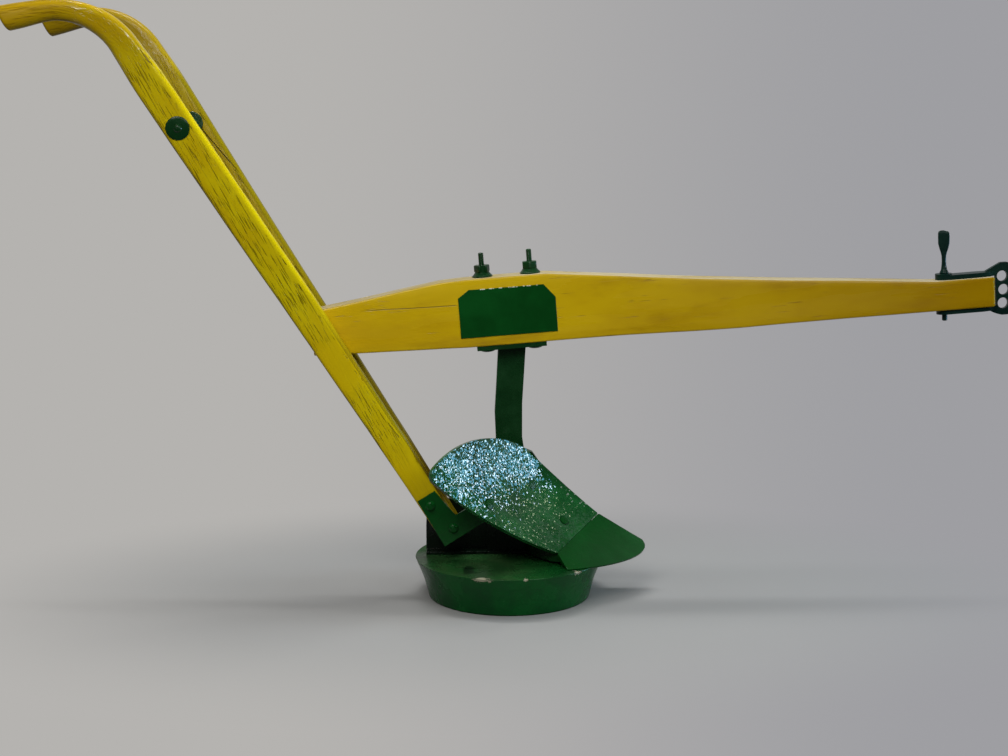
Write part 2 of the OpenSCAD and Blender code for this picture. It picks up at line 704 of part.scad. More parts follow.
module heel_bolts() {
    inner_y = landside_in_y - handle_t;
    color(paint_green) for (b = heel_bolt_places) at_handle(b[0], b[1], 0) {
        translate([0, inner_y, 0]) rotate([90, 0, 0]) cylinder(r = bolt_head_r, h = bolt_nut_h, $fn = 6);
        translate([0, land_y, 0]) rotate([90, 0, 0])
            cylinder(r = bracket_bolt_r, h = land_y - inner_y + 1, $fn = fine);
    }
}

// Clevis: two arms over and under the nose, and an upright plate with three hitch holes
plate_back_r = nose_end_r + swing_gap;
eye_r = clevis_arm_w / 2;
eye_hole_r = hitch_pin_r + pin_play;
nose_hole_r = eye_hole_r + 1;
hole_out = 106.3;
hitch_x = pin_x + hole_out;
hitch_mid_out = 2;
hole_lift = 1;
hitch_z = nose_depth / 2 - nose_drop + hole_lift;
top_arm_z = nose_top + arm_gap;
low_arm_z = -nose_drop - arm_gap - clevis_arm_t;
eye_rise = 2.5;
top_eye_h = clevis_arm_t + eye_rise;
arm_full = 66;
arm_taper = 82;
arm_bend = 4;
arm_l = 95;
flare_l = 74;
flare_mid = 14;
flare_end = 30;
flare_lag = 8;
plate_l = 125;
plate_up = 49.5;
plate_down = 46.5;
plate_corner = 10;
plate_bulge = 2;
plate_side = 18;

module clevis_arm() {
    w = clevis_arm_w / 2;
    p = hitch_plate_t / 2;
    linear_extrude(clevis_arm_t)
        polygon([[pin_x, -w], [pin_x + arm_full, -w], [pin_x + arm_taper, -w + arm_bend], [pin_x + arm_l, -p],
            [pin_x + arm_l, p], [pin_x + arm_taper, w - arm_bend], [pin_x + arm_full, w], [pin_x, w]]);
}
module hitch_plate() {
    rear = pin_x + flare_l;
    front = pin_x + plate_l;
    top = hitch_z + plate_up;
    low = hitch_z - plate_down;
    tip = front + plate_bulge;
    flare_top = [for (k = [0:6]) bez2([rear, top_arm_z + clevis_arm_t],
        [rear + flare_mid, top - flare_lag], [rear + flare_end, top], k / 6)];
    flare_low = [for (k = [6:-1:0]) bez2([rear + flare_lag, low_arm_z],
        [rear + flare_mid, low + flare_lag / 2], [rear + flare_end, low], k / 6)];
    nose_high = [for (k = [0:6]) bez2([front - plate_corner, top], [front, top],
        [tip, hitch_z + plate_side], k / 6)];
    nose_low = [for (k = [0:6]) bez2([tip, hitch_z - plate_side], [front, low],
        [front - plate_corner, low], k / 6)];
    translate([0, hitch_plate_t / 2, 0]) rotate([90, 0, 0]) linear_extrude(hitch_plate_t)
        polygon(concat(flare_top, nose_high, nose_low, flare_low));
}
module clevis() {
    color(paint_green) in_beam() difference() {
        union() {
            translate([0, 0, top_arm_z]) clevis_arm();
            translate([0, 0, low_arm_z]) clevis_arm();
            translate([pin_x, 0, top_arm_z]) cylinder(r = eye_r, h = top_eye_h, $fn = fine);
            translate([pin_x, 0, low_arm_z]) cylinder(r = eye_r, h = clevis_arm_t, $fn = fine);
            hitch_plate();
        }
        translate([pin_x, 0, -nose_drop - arm_gap])
            cylinder(r = plate_back_r, h = nose_depth + 2 * arm_gap, $fn = 128);
        translate([pin_x, 0, -60]) cylinder(r = eye_hole_r, h = 180, $fn = fine);
        for (k = [-1, 0, 1])
            translate([hitch_x + (k == 0 ? hitch_mid_out : 0), hitch_plate_t, hitch_z + k * hitch_pitch])
                rotate([90, 0, 0]) cylinder(r = hitch_r, h = 2 * hitch_plate_t, $fn = fine);
    }
}

pin_below = 12.5;
pin_neck = 22;
pin_top = 78;
pin_seat_r = 8.2;

// Drop pin: shank, collar cone, neck and a flat thumb plate with a notch; it leans in its holes
module hitch_pin() {
    seat_z = top_arm_z + top_eye_h + 0.3;
    pin_low = low_arm_z - pin_below;
    neck = pin_neck;
    top = pin_top;
    seat_r = pin_seat_r;
    color(paint_green) in_beam() translate([pin_x + 0.5, 0, hitch_z]) rotate([0, pin_lean, 0])
        translate([0, 0, seat_z - hitch_z]) {
            translate([0, 0, pin_low - seat_z]) cylinder(r = hitch_pin_r, h = seat_z - pin_low + 1, $fn = fine);
            cylinder(r1 = seat_r, r2 = 5.4, h = 7, $fn = fine);
            translate([0, 0, 7]) cylinder(r1 = 5.4, r2 = 3.9, h = neck - 7, $fn = fine);
            translate([0, 0, neck]) cylinder(r1 = 3.9, r2 = 4.3, h = 10, $fn = fine);
            translate([0, 2.7, 0]) rotate([90, 0, 0]) linear_extrude(5.4)
                polygon([[-3.6, neck], [3.8, neck], [4.3, neck + 11], [7.6, neck + 22], [10.6, neck + 32],
                    [11, neck + 44], [10.6, top - 5], [8.2, top - 2], [3, top - 2], [1.5, top],
                    [-8, top], [-9.8, top - 3], [-10, neck + 32], [-6.8, neck + 20], [-4, neck + 10]]);
        }
}

plinth();
landside();
share();
moldboard();
standard();
beam();
nameplate();
beam_bolts();
beam_washers();
beam_nuts();
handle_right();
handle_left();
rung();
rung_caps();
handle_bracket();
bracket_bolts();
heel_bolts();
clevis();
hitch_pin();
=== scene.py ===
import math

import bmesh
import bpy
from mathutils import Matrix, Vector, noise


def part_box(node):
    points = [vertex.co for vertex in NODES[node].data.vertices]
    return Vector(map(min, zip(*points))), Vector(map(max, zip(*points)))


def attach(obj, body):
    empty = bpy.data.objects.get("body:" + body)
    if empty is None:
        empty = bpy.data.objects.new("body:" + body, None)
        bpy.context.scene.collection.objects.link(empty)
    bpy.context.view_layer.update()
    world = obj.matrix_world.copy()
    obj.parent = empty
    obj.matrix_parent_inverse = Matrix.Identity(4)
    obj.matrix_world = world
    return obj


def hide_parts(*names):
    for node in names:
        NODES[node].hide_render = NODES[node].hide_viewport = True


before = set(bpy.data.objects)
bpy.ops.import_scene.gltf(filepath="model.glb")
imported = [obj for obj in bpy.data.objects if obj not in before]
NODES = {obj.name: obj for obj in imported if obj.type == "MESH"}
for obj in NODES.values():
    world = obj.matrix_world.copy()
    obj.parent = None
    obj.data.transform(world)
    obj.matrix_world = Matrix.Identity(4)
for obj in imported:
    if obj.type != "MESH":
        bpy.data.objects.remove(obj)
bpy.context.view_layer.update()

# Shapes are worked out in millimetres, as in the part's source. Meshes and materials are in metres.
MM = 0.001
GROUND = 73.0  # top of the plinth
LAND_Y = 36.0  # outer face of the landside
SHARP = 38.0  # edges that turn by more degrees than this stay sharp


# Small helpers

def mix(a, b, t):
    return a + (b - a) * t


def bez2(a, b, c, t):
    return (1 - t) ** 2 * a + 2 * t * (1 - t) * b + t * t * c


def bez3(a, b, c, d, t):
    return (1 - t) ** 3 * a + 3 * t * (1 - t) ** 2 * b + 3 * t * t * (1 - t) * c + t ** 3 * d


def clamp(x, lo, hi):
    return max(lo, min(hi, x))


def lookup(x, table):
    """Value at x in a table of places and values, on straight lines between them."""
    if x <= table[0][0]:
        return table[0][1]
    for (x0, y0), (x1, y1) in zip(table, table[1:]):
        if x <= x1:
            return mix(y0, y1, (x - x0) / (x1 - x0))
    return table[-1][1]


def soft_lookup(x, table, reach):
    """lookup with its kinks rounded over the reach."""
    return sum(lookup(x + reach * k / 3, table) for k in range(-3, 4)) / 7


def wobble(p, scale, amount):
    """Smooth unevenness at a point."""
    return noise.noise(Vector(p) * scale) * amount


def around(count):
    """Evenly spaced angles of a full turn."""
    return [2 * math.pi * k / count for k in range(count)]


def polar(radius, angle, height):
    return Vector((radius * math.cos(angle), radius * math.sin(angle), height))


# Making meshes

def make_object(name, points, faces, grain=None, sharp=SHARP, ridge=None):
    """Smooth mesh object from points in millimetres, with the attributes that its wood grain needs, and the
    ridge that carries wear and painted light.
    """
    mesh = bpy.data.meshes.new(name)
    mesh.from_pydata([tuple(c * MM for c in p) for p in points], [], faces)
    if grain:
        layer = mesh.attributes.new("grain", "FLOAT_VECTOR", "POINT")
        layer.data.foreach_set("vector", [c * MM for g in grain for c in g])
    if ridge:
        mesh.attributes.new("ridge", "FLOAT", "POINT").data.foreach_set("value", ridge)
    return link_mesh(name, mesh, sharp)


def link_mesh(name, mesh, sharp=SHARP):
    """Object of a mesh, with its faces turned outward."""
    bm = bmesh.new()
    bm.from_mesh(mesh)
    bmesh.ops.recalc_face_normals(bm, faces=bm.faces)
    bm.to_mesh(mesh)
    bm.free()
    mesh.validate()
    shade_smooth(mesh, sharp)
    ob = bpy.data.objects.new(name, mesh)
    bpy.context.scene.collection.objects.link(ob)
    return ob


def shade_smooth(mesh, sharp):
    for poly in mesh.polygons:
        poly.use_smooth = True
    mesh.set_sharp_from_angle(angle=math.radians(sharp))


def bake_modifiers(ob, sharp):
    """Applies the object's modifiers to its mesh."""
    graph = bpy.context.evaluated_depsgraph_get()
    mesh = bpy.data.meshes.new_from_object(ob.evaluated_get(graph))
    ob.modifiers.clear()
    ob.data = mesh
    if not mesh.has_custom_normals:
        shade_smooth(mesh, sharp)


def round_edges(ob, width, segments=2, sharp=SHARP):
    """Rounds the edges that are over the sharp angle."""
    bevel = ob.modifiers.new("round", "BEVEL")
    bevel.width = width * MM
    bevel.segments = segments
    bevel.limit_method = "ANGLE"
    bevel.angle_limit = math.radians(sharp)
    bevel.miter_outer = "MITER_ARC"
    for poly in ob.data.polygons:
        poly.use_smooth = True
    ob.modifiers.new("even", "WEIGHTED_NORMAL").keep_sharp = True
    bake_modifiers(ob, sharp)


def cut(ob, cutter, sharp):
    """Cuts the cutter's shape out of the object and removes the cutter."""
    mod = ob.modifiers.new("cut", "BOOLEAN")
    mod.operation = "DIFFERENCE"
    mod.solver = "EXACT"
    mod.object = cutter
    bake_modifiers(ob, sharp)
    bpy.data.objects.remove(cutter)


def rounded_rect(w, t, r, per_corner=6, per_flat=4):
    """Ring of points of a round-cornered rectangle, as places across and through."""
    ring = []
    for quarter in range(4):
        sx = 1 if quarter in (0, 3) else -1
        sy = 1 if quarter < 2 else -1
        arc = []
        for k in range(per_corner):
            a = math.radians(90 * quarter + 90 * k / (per_corner - 1))
            arc.append((sx * (w / 2 - r) + r * math.cos(a), sy * (t / 2 - r) + r * math.sin(a)))
        if ring:
            ring += flat_points(ring[-1], arc[0], per_flat)
        ring += arc
    return ring + flat_points(ring[-1], ring[0], per_flat)


def flat_points(a, b, n):
    """Points between a and b, without these two."""
    return [(mix(a[0], b[0], k / (n + 1)), mix(a[1], b[1], k / (n + 1))) for k in range(1, n + 1)]


def tube_faces(rings, m, bored=False):
    """Faces over rings of m points, capped at both ends, or closed round a bore."""
    faces = [(i * m + k, i * m + (k + 1) % m, (i + 1) * m + (k + 1) % m, (i + 1) * m + k)
             for i in range(rings - 1) for k in range(m)]
    last = (rings - 1) * m
    if bored:
        return faces + [(last + k, last + (k + 1) % m, (k + 1) % m, k) for k in range(m)]
    return faces + [tuple(range(m)), tuple(last + k for k in range(m))]


def lathe(name, profile, place, segments, sharp=SHARP, twist=None, bored=False):
    """Turns a profile of (radius, height) about local Z and puts it in place."""
    points = []
    for r, h in profile:
        for a in around(segments):
            change = twist(a, h) if twist and r > 0.01 else 0.0
            points.append(place @ polar(r + change, a, h))
    return make_object(name, points, tube_faces(len(profile), segments, bored), sharp=sharp)


def join(name, obs):
    """One object from several meshes."""
    bm = bmesh.new()
    for ob in obs:
        bm.from_mesh(ob.data)
        bpy.data.objects.remove(ob)
    mesh = bpy.data.meshes.new(name)
    bm.to_mesh(mesh)
    bm.free()
    return link_mesh(name, mesh)


def dressed(node, name, width, segments=2):
    """A copy of a CAD node with whole faces and softly rounded edges."""
    bm = bmesh.new()
    bm.from_mesh(NODES[node].data)
    bmesh.ops.remove_doubles(bm, verts=bm.verts, dist=2e-6)
    bmesh.ops.dissolve_limit(bm, angle_limit=math.radians(0.4), verts=bm.verts, edges=bm.edges)
    mesh = bpy.data.meshes.new(name)
    bm.to_mesh(mesh)
    bm.free()
    if mesh.has_custom_normals:
        mesh.attributes.remove(mesh.attributes["custom_normal"])
    ob = link_mesh(name, mesh)
    round_edges(ob, width, segments)
    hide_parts(node)
    return ob


def place_along(origin, axis, forward=Vector((1, 0, 0))):
    """Matrix in millimetres whose Z is the axis and whose X leans to the forward direction."""
    z = Vector(axis).normalized()
    x = (forward - forward.dot(z) * z).normalized()
    y = z.cross(x)
    m = Matrix((x, y, z)).transposed().to_4x4()
    m.translation = Vector(origin)
    return m


# Moldboard and share

BOARD_T, HOLLOW = 7.0, 20.0
SEAM_LAND = Vector((167, LAND_Y, GROUND + 67))
SEAM_WING = Vector((83, -80, GROUND + 23))
SHIN_TOP = Vector((44.5, LAND_Y - 20, GROUND + 183))
SHIN_PULL = Vector((111, LAND_Y, GROUND + 114))
TAIL_TIP = Vector((-149, -190, GROUND + 189))
LOWER_PULL = Vector((-47, -127, GROUND + 84))
TOP_FRONT = SHIN_TOP + Vector((-30, -20, 37))
TOP_REAR = TAIL_TIP + Vector((69, 70, 85))
HOLLOW_WAY = Vector((-0.35, 0.85, -0.4))
NOSE_LAND = Vector((250, LAND_Y, GROUND + 16))
NOSE_PULL = Vector((275, LAND_Y - 28, GROUND - 11))
WING_PULL = Vector((170, -103, GROUND + 4))
WING_TIP = Vector((99, -114, GROUND + 1))
SHARE_WAY = Vector((0.79, -0.61, 0))
SEAM_GAP, SHARE_BACK_T, SHARE_EDGE_T = 0.8, 9.0, 3.5
RIM_R = 172.0
PLATE_SHARP = 50.0
# Rounded corners of the two faces: which end of u, which end of v, radius
BOARD_CORNERS = [(1, 1, 0.062), (0, 0, 0.022), (0, 1, 0.015), (1, 0, 0.015)]
SHARE_CORNERS = [(0, 1, 0.03), (1, 1, 0.01)]


def board(u, v):
    """Point of the moldboard's face: u from the shin to the wing, v from the seam to the top."""
    seam = mix(SEAM_LAND, SEAM_WING, u)
    top = bez3(SHIN_TOP, TOP_FRONT, TOP_REAR, TAIL_TIP, u)
    shin = bez2(SEAM_LAND, SHIN_PULL, SHIN_TOP, v)
    low = bez2(SEAM_WING, LOWER_PULL, TAIL_TIP, v)
    corners = ((1 - u) * (1 - v) * SEAM_LAND + u * (1 - v) * SEAM_WING
               + (1 - u) * v * SHIN_TOP + u * v * TAIL_TIP)
    return ((1 - v) * seam + v * top + (1 - u) * shin + u * low - corners
            + HOLLOW * 16 * u * (1 - u) * v * (1 - v) * HOLLOW_WAY)


def face_normal(face, u, v, d=0.01):
    return (face(u, v + d) - face(u, v - d)).cross(face(u + d, v) - face(u - d, v)).normalized()


def board_normal(u, v):
    """Normal of the face, kept from turning at its narrow rims."""
    return face_normal(board, clamp(u, 0.06, 0.96), clamp(v, 0.03, 0.88))


def share_face(u, w):
    """Point of the share's face: u from the nose to the wing, w from the edge to the seam."""
    edge = bez3(NOSE_LAND, NOSE_PULL, WING_PULL, WING_TIP, u)
    return mix(edge, mix(SEAM_LAND, SEAM_WING, u) + SEAM_GAP * SHARE_WAY, w)


def rounded_corner(u, v, cu, cv, r):
    """Bends the corner (cu, cv) of the unit square into a round one of parameter radius r."""
    a = (u - (1 - r)) / r if cu else (r - u) / r
    b = (v - (1 - r)) / r if cv else (r - v) / r
    if a <= 0 or b <= 0:
        return u, v
    a2 = a * math.sqrt(1 - b * b / 2)
    b2 = b * math.sqrt(1 - a * a / 2)
    return (1 - r + r * a2 if cu else r - r * a2), (1 - r + r * b2 if cv else r - r * b2)


def bent_plate(name, face, normal, thick, nu, nv, corners, rough):
    """Shell between a face, with its corners rounded, and its back."""
    front, back = [], []
    for i in range(nu + 1):
        for j in range(nv + 1):
            u, v = i / nu, j / nv
            for corner in corners:
                u, v = rounded_corner(u, v, *corner)
            p, n = face(u, v), normal(u, v)
            front.append(p + n * rough(p))
            back.append(p - n * thick(u, v))
    for p in front + back:
        p.y = min(p.y, LAND_Y - 0.02)
    size, row = len(front), nv + 1
    faces = []
    for i in range(nu):
        for j in range(nv):
            a, b = i * row + j, (i + 1) * row + j
            faces.append((a, b, b + 1, a + 1))
            faces.append((size + a, size + a + 1, size + b + 1, size + b))
    rim = [i * row for i in range(nu)] + [nu * row + j for j in range(nv)]
    rim += [i * row + nv for i in range(nu, 0, -1)] + list(range(nv, 0, -1))
    for a, b in zip(rim, rim[1:] + rim[:1]):
        faces.append((a, size + a, size + b, b))
    return make_object(name, front + back, faces, sharp=PLATE_SHARP)


def board_rough(p):
    """Hammered unevenness of the old plate."""
    return (wobble(p, 1 / 38, 0.7) + wobble(p, 1 / 11, 0.22) + wobble(p, 1 / 5.5, 0.16)
            + wobble(p + Vector((50, 0, 0)), 1 / 3.6, 0.12))


def share_rough(p):
    return wobble(p, 1 / 30, 0.35) + wobble(p, 1 / 8, 0.1)


moldboard = bent_plate("moldboard_plate", board, board_normal, lambda u, v: BOARD_T, 130, 130,
                       BOARD_CORNERS, board_rough)
round_edges(moldboard, 1.1, 2, PLATE_SHARP)
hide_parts("moldboard")

share = bent_plate("share_plate", share_face, lambda u, w: face_normal(share_face, u, w),
                   lambda u, w: mix(SHARE_EDGE_T, SHARE_BACK_T, w), 150, 40, SHARE_CORNERS, share_rough)
plinth_room = [(RIM_R + 1, GROUND - 40), (RIM_R + 1, GROUND + 0.3)]
cut(share, lathe("plinth_cutter", plinth_room, Matrix.Identity(4), 128), PLATE_SHARP)
round_edges(share, 0.9, 2, PLATE_SHARP)
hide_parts("share")

# Bolt heads in the moldboard: place in u and v, radius, how far the head stands proud
BOARD_BOLTS = [(0.88, 0.575, 8.5, 1.5), (0.46, 0.15, 8.0, 1.4), (0.40, 0.56, 8.0, 1.0)]
HEAD_SUNK = 2.5


def plough_bolt(u, v, r, proud):
    """Worn flush bolt head on the moldboard's face."""
    n = board_normal(u, v)
    at = place_along(board(u, v) - n * HEAD_SUNK, n)
    rim = [(0.0, 0.0), (r, 0.0), (r, HEAD_SUNK + proud * 0.2), (r - 0.5, HEAD_SUNK + proud * 0.7)]
    dome = [(r * math.cos(a) * 0.92, HEAD_SUNK + proud * (0.7 + 0.3 * math.sin(a)))
            for a in map(math.radians, (20, 45, 70))]
    return lathe("head", rim + dome + [(0.0, HEAD_SUNK + proud)], at, 40)


plough_bolts = join("plough_bolts", [plough_bolt(*spec) for spec in BOARD_BOLTS])


# Handles

HANDLE_P = (-150.4, GROUND + 123)
SLOPE, HANDLE_END = 57.9, -92.0
BEND_ALONG, BEND_R, BEND_TURN = 938.0, 120.0, 32.7
GRIP_R, GRIP_TURN, GRIP_STRAIGHT = 130.0, 37.0, 66.0
BEND_END = BEND_ALONG + BEND_R * math.radians(BEND_TURN)
GRIP_END = BEND_END + GRIP_R * math.radians(GRIP_TURN)
TIP = GRIP_END + GRIP_STRAIGHT
TIP_ROUND, TIP_SLANT = 5.0, 0.26
BEAM_W, HANDLE_T, BEAM_Y = 50.0, 30.0, 5.0
BEAM_HALF = (BEAM_W + HANDLE_T) / 2
HEEL_Y = LAND_Y - 8 - HANDLE_T / 2
FLAT_START, FLAT_END = 283.0, 404.0
RUNG_SPREAD, RUNG_ALONG, GRIP_SPREAD = 204.0, 780.0, 334.0
RUNG_SLOPE = (RUNG_SPREAD / 2 - BEAM_HALF) / (RUNG_ALONG - FLAT_END)
BOW_START, BOW = 100.0, -2.4
FAR_GRAIN = 3000  # the far handle's grain starts this much further along than the near one's
# Each table gives a value at places along the handle.
SPREAD = [(FLAT_END, BEAM_HALF), (RUNG_ALONG + 60, RUNG_SPREAD / 2 + 60 * RUNG_SLOPE),
          (TIP, GRIP_SPREAD / 2)]
LEFT_LOW = [(HANDLE_END, HEEL_Y), (12, HEEL_Y), (FLAT_START, BEAM_Y + BEAM_HALF)]
WIDTHS = [(-60, 43), (60, 45), (130, 47), (FLAT_END, 55), (BEND_ALONG - 66, 55), (BEND_END, 40),
          (GRIP_END - 30, 34), (TIP - 22, 43), (TIP, 43)]
THICKS = [(BEND_ALONG - 60, 30), (GRIP_END - 30, 32), (TIP - 22, 38), (TIP, 38)]
CORNERS = [(100, 2.0), (150, 6.5), (BEND_ALONG - 66, 8), (BEND_ALONG, 11), (BEND_END, 14),
           (GRIP_END - 30, 15.4), (TIP - 22, 17.6), (TIP, 17)]


def run(p, way, s):
    """Point of the handle's plane at s from p, up and back at a slope in degrees."""
    return p[0] - s * math.cos(math.radians(way)), p[1] + s * math.sin(math.radians(way))


def arc_end(p, way, r, turn):
    """Point where a bend that starts at p and turns by degrees ends."""
    a, b = math.radians(way), math.radians(way - turn)
    return p[0] - r * (math.sin(a) - math.sin(b)), p[1] + r * (math.cos(b) - math.cos(a))


BEND_P = run(HANDLE_P, SLOPE, BEND_ALONG)
BEND_END_P = arc_end(BEND_P, SLOPE, BEND_R, BEND_TURN)
GRIP_P = arc_end(BEND_END_P, SLOPE - BEND_TURN, GRIP_R, GRIP_TURN)


def handle_heading(s):
    if s <= BEND_ALONG:
        return SLOPE
    if s <= BEND_END:
        return SLOPE - math.degrees((s - BEND_ALONG) / BEND_R)
    return SLOPE - BEND_TURN - math.degrees(min(s - BEND_END, GRIP_END - BEND_END) / GRIP_R)


def handle_centre(s):
    way = handle_heading(s)
    if s <= BEND_ALONG:
        x, z = run(HANDLE_P, SLOPE, s)
        if s > BOW_START:
            bow = BOW * math.sin(math.pi * (s - BOW_START) / (BEND_ALONG - BOW_START))
            x, z = x + bow * math.sin(math.radians(SLOPE)), z + bow * math.cos(math.radians(SLOPE))
        return x, z
    if s <= BEND_END:
        return arc_end(BEND_P, SLOPE, BEND_R, SLOPE - way)
    if s <= GRIP_END:
        return arc_end(BEND_END_P, SLOPE - BEND_TURN, GRIP_R, SLOPE - BEND_TURN - way)
    return run(GRIP_P, way, s - GRIP_END)


def handle_y(side, s):
    if side < 0:
        return BEAM_Y - soft_lookup(s, SPREAD, 25)
    return soft_lookup(s, LEFT_LOW, 25) if s < 340 else BEAM_Y + soft_lookup(s, SPREAD, 25)


def on_handle(s, t):
    """Point at s along the straight handle and t across it."""
    x, z = run(HANDLE_P, SLOPE, s)
    return x + t * math.sin(math.radians(SLOPE)), z + t * math.cos(math.radians(SLOPE))


def tip_lean(s, across):
    """How far a point near the grip's end stays back, so that the end is sawn aslant."""
    return clamp((s - (TIP - 60)) / 60, 0, 1) * TIP_SLANT * (WIDTHS[-1][1] / 2 - across)


def ridge_wear_and_light(s, across, half, r):
    """1 on the rubbed upper corners, which the wood's paint lightens as a painted highlight, -1 on the lower
    face, which it darkens as painted shade, and 0 past the bend.
    """
    worn = clamp((BEND_ALONG - s) / 110, 0, 1)
    upper = clamp((across - (half - r * 1.2)) / (r * 0.5), 0, 1)
    lower = clamp((-across - (half - 6)) / 6, 0, 1)
    return worn * (upper - lower)


def handle_stations():
    """Places along the handle, each with how far its ring is drawn in at the rounded tip."""
    places = [HANDLE_END, HANDLE_END + 0.8, HANDLE_END + 2.5]
    s = HANDLE_END + 8
    while s < TIP - TIP_ROUND - 3:
        places.append(s)
        s += 5.5
    stations = [(s, 0.0) for s in places]
    for k in range(6):
        turn = math.pi / 2 * k / 5
        stations.append((TIP - TIP_ROUND * (1 - math.sin(turn)), TIP_ROUND * (1 - math.cos(turn))))
    return stations + [(TIP, 9.0), (TIP, 13.0), (TIP, 16.0)]


def handle(name, side):
    """Handle with small waves, swept along its bend and grip. The near handle's side is -1."""
    points, grain, ridge = [], [], []
    stations = handle_stations()
    for s, inset in stations:
        foot = 0.94 if s == HANDLE_END else 0.985 if s < HANDLE_END + 1 else 1.0
        w = soft_lookup(s, WIDTHS, 18) * foot
        t = soft_lookup(s, THICKS, 18) * foot
        r = max(min(soft_lookup(s, CORNERS, 10), min(w, t) * 0.48) - inset * 0.7, 1.0)
        y = handle_y(side, s)
        for across, through in rounded_rect(w - 2 * inset, t - 2 * inset, r):
            back = s - tip_lean(s, across)
            x, z = handle_centre(back)
            way = math.radians(handle_heading(back))
            grow = 1 + wobble((s * 0.02, across * 0.05, through * 0.05 + side * 9), 1, 0.010)
            grow += wobble((s * 0.007, side * 3.0, across * 0.01), 1, 0.008)
            points.append((x + across * grow * math.sin(way), y + through * grow,
                           z + across * grow * math.cos(way)))
            grain.append((back + FAR_GRAIN * (side > 0), across, through))
            ridge.append(ridge_wear_and_light(s, across, w / 2, r))
    faces = tube_faces(len(stations), len(points) // len(stations))
    return make_object(name, points, faces, grain, 50, ridge)


handle_right = handle("handle_near", -1)
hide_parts("handle_right")
handle_left = handle("handle_far", 1)
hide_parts("handle_left")


# Beam

BEAM_AT = Vector((4.5, BEAM_Y, GROUND + 393))
BEAM_SLOPE = 4.3
BEAM_FRAME = Matrix.Translation(BEAM_AT) @ Matrix.Rotation(math.radians(-BEAM_SLOPE), 4, "Y")
PIN_X, NOSE_R, NOSE_DEPTH, NOSE_DROP = 791.0, 89.5, 54.5, 3.5
BEAM_DEPTH, BEAM_BACK = 123.0, 354.0
NOSE_TOP = NOSE_DEPTH - NOSE_DROP
NOSE_EDGE_R = 4.5
# Place along the beam, height of underside, height of top, width
BEAM_TABLE = [(-BEAM_BACK, 8, 88, 50), (-265, 5.3, 100, 50), (-206, 4, 109, 50), (-118, 1.8, 121.5, 50),
              (-80, 0, 123, 50), (68, 0, 123, 50), (201, 0, 108, 50), (328, -2.8, 93, 50),
              (420, -4.2, 83.7, 48.2), (500, -3, 76, 47), (670, -3.2, 60.3, 44), (745, -3.5, 53.5, 44),
              (769, -3.5, 51, 44), (900, -3.5, 51, 44)]
LOWS, TOPS, BEAM_WIDTHS = ([(row[0], row[k]) for row in BEAM_TABLE] for k in (1, 2, 3))
# Turn about the nose's edge in degrees, and how much the end's last rings shrink
NOSE_RINGS = [(90 * k / 5, 1.0) for k in range(6)] + [(90, 0.7), (90, 0.4), (90, 0.12)]


def beam_places():
    """Places of the rings along the beam, close together at its sawn rear end."""
    places = [-BEAM_BACK, -BEAM_BACK + 0.6, -BEAM_BACK + 2.2]
    x = -BEAM_BACK + 8
    while x < PIN_X + NOSE_R - 12:
        places.append(x)
        x += 7.0
    return places


def beam_ring(x, inset=0.0, scale=1.0):
    """Section of the beam as places across and heights, drawn in by the inset."""
    low = soft_lookup(x, LOWS, 9) + inset
    top = soft_lookup(x, TOPS, 9) - inset
    w = lookup(x, BEAM_WIDTHS)
    r = clamp(3.4 - inset, 0.8, 3.4)
    ring = rounded_rect((w - 2 * inset) * scale, (top - low) * scale, r * scale, 5, 7)
    return [(y, z + (top + low) / 2) for y, z in ring]


def make_beam():
    """Beam with small waves, a worn rear end, and a nose that is round about the pin."""
    points, grain = [], []
    places = beam_places()
    for x in places:
        rear = 0.965 if x == -BEAM_BACK else 0.99 if x < -BEAM_BACK + 1 else 1.0
        calm = 1 if x < PIN_X - 80 else 0.2
        aside = calm if abs(x) > 110 else 0
        for y, z in beam_ring(x, 0, rear):
            push_y = wobble((x * 0.012, y * 0.02, z * 0.02), 1, 0.9)
            push_z = wobble((x * 0.009, y * 0.02 + 40, z * 0.01), 1, 1.0)
            points.append((x, y + push_y * 0.5 * aside, z + push_z * 0.6 * calm))
            grain.append((x, z, y))
    middle = (NOSE_TOP - NOSE_DROP) / 2
    for angle, scale in NOSE_RINGS:
        turn = math.radians(angle)
        for y, z in beam_ring(PIN_X + 60, NOSE_EDGE_R * (1 - math.cos(turn))):
            y, z = y * scale, middle + (z - middle) * scale
            front = PIN_X + math.sqrt(NOSE_R ** 2 - y * y) - NOSE_EDGE_R * (1 - math.sin(turn))
            points.append((front, y, z))
            grain.append((front, z, y))
    rings = len(places) + len(NOSE_RINGS)
    points = [BEAM_FRAME @ Vector(p) for p in points]
    return make_object("beam_wood", points, tube_faces(rings, len(points) // rings), grain, 50)


beam = make_beam()
cut(beam, lathe("pin_bore", [(7.6, -30), (7.6, 90)], BEAM_FRAME @ Matrix.Translation((PIN_X, 0, 0)), 48), 50)
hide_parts("beam")


# Plinth

FOOT_R, COVE, FOOT_C, RIM_C = 148.0, 2.2, 1.5, 1.2
SIDE_STEPS = 44
# Chips along the rim: angle from +X in degrees, height, half length, half height, depth
CHIPS = [(-108.6, 70.8, 17, 5.0, 1.3), (-82.7, 71.4, 5, 2.6, 0.7), (-47.0, 71.0, 9, 4.6, 1.0),
         (35.0, 71.0, 9, 3.0, 0.9), (118.0, 70.0, 7, 3.5, 0.9)]


def plinth_side(z):
    """Radius of the slightly hollow side at a height."""
    t = clamp((z - FOOT_C) / (GROUND - RIM_C - FOOT_C), 0, 1)
    return mix(FOOT_R, RIM_R, t) - COVE * 4 * t * (1 - t)


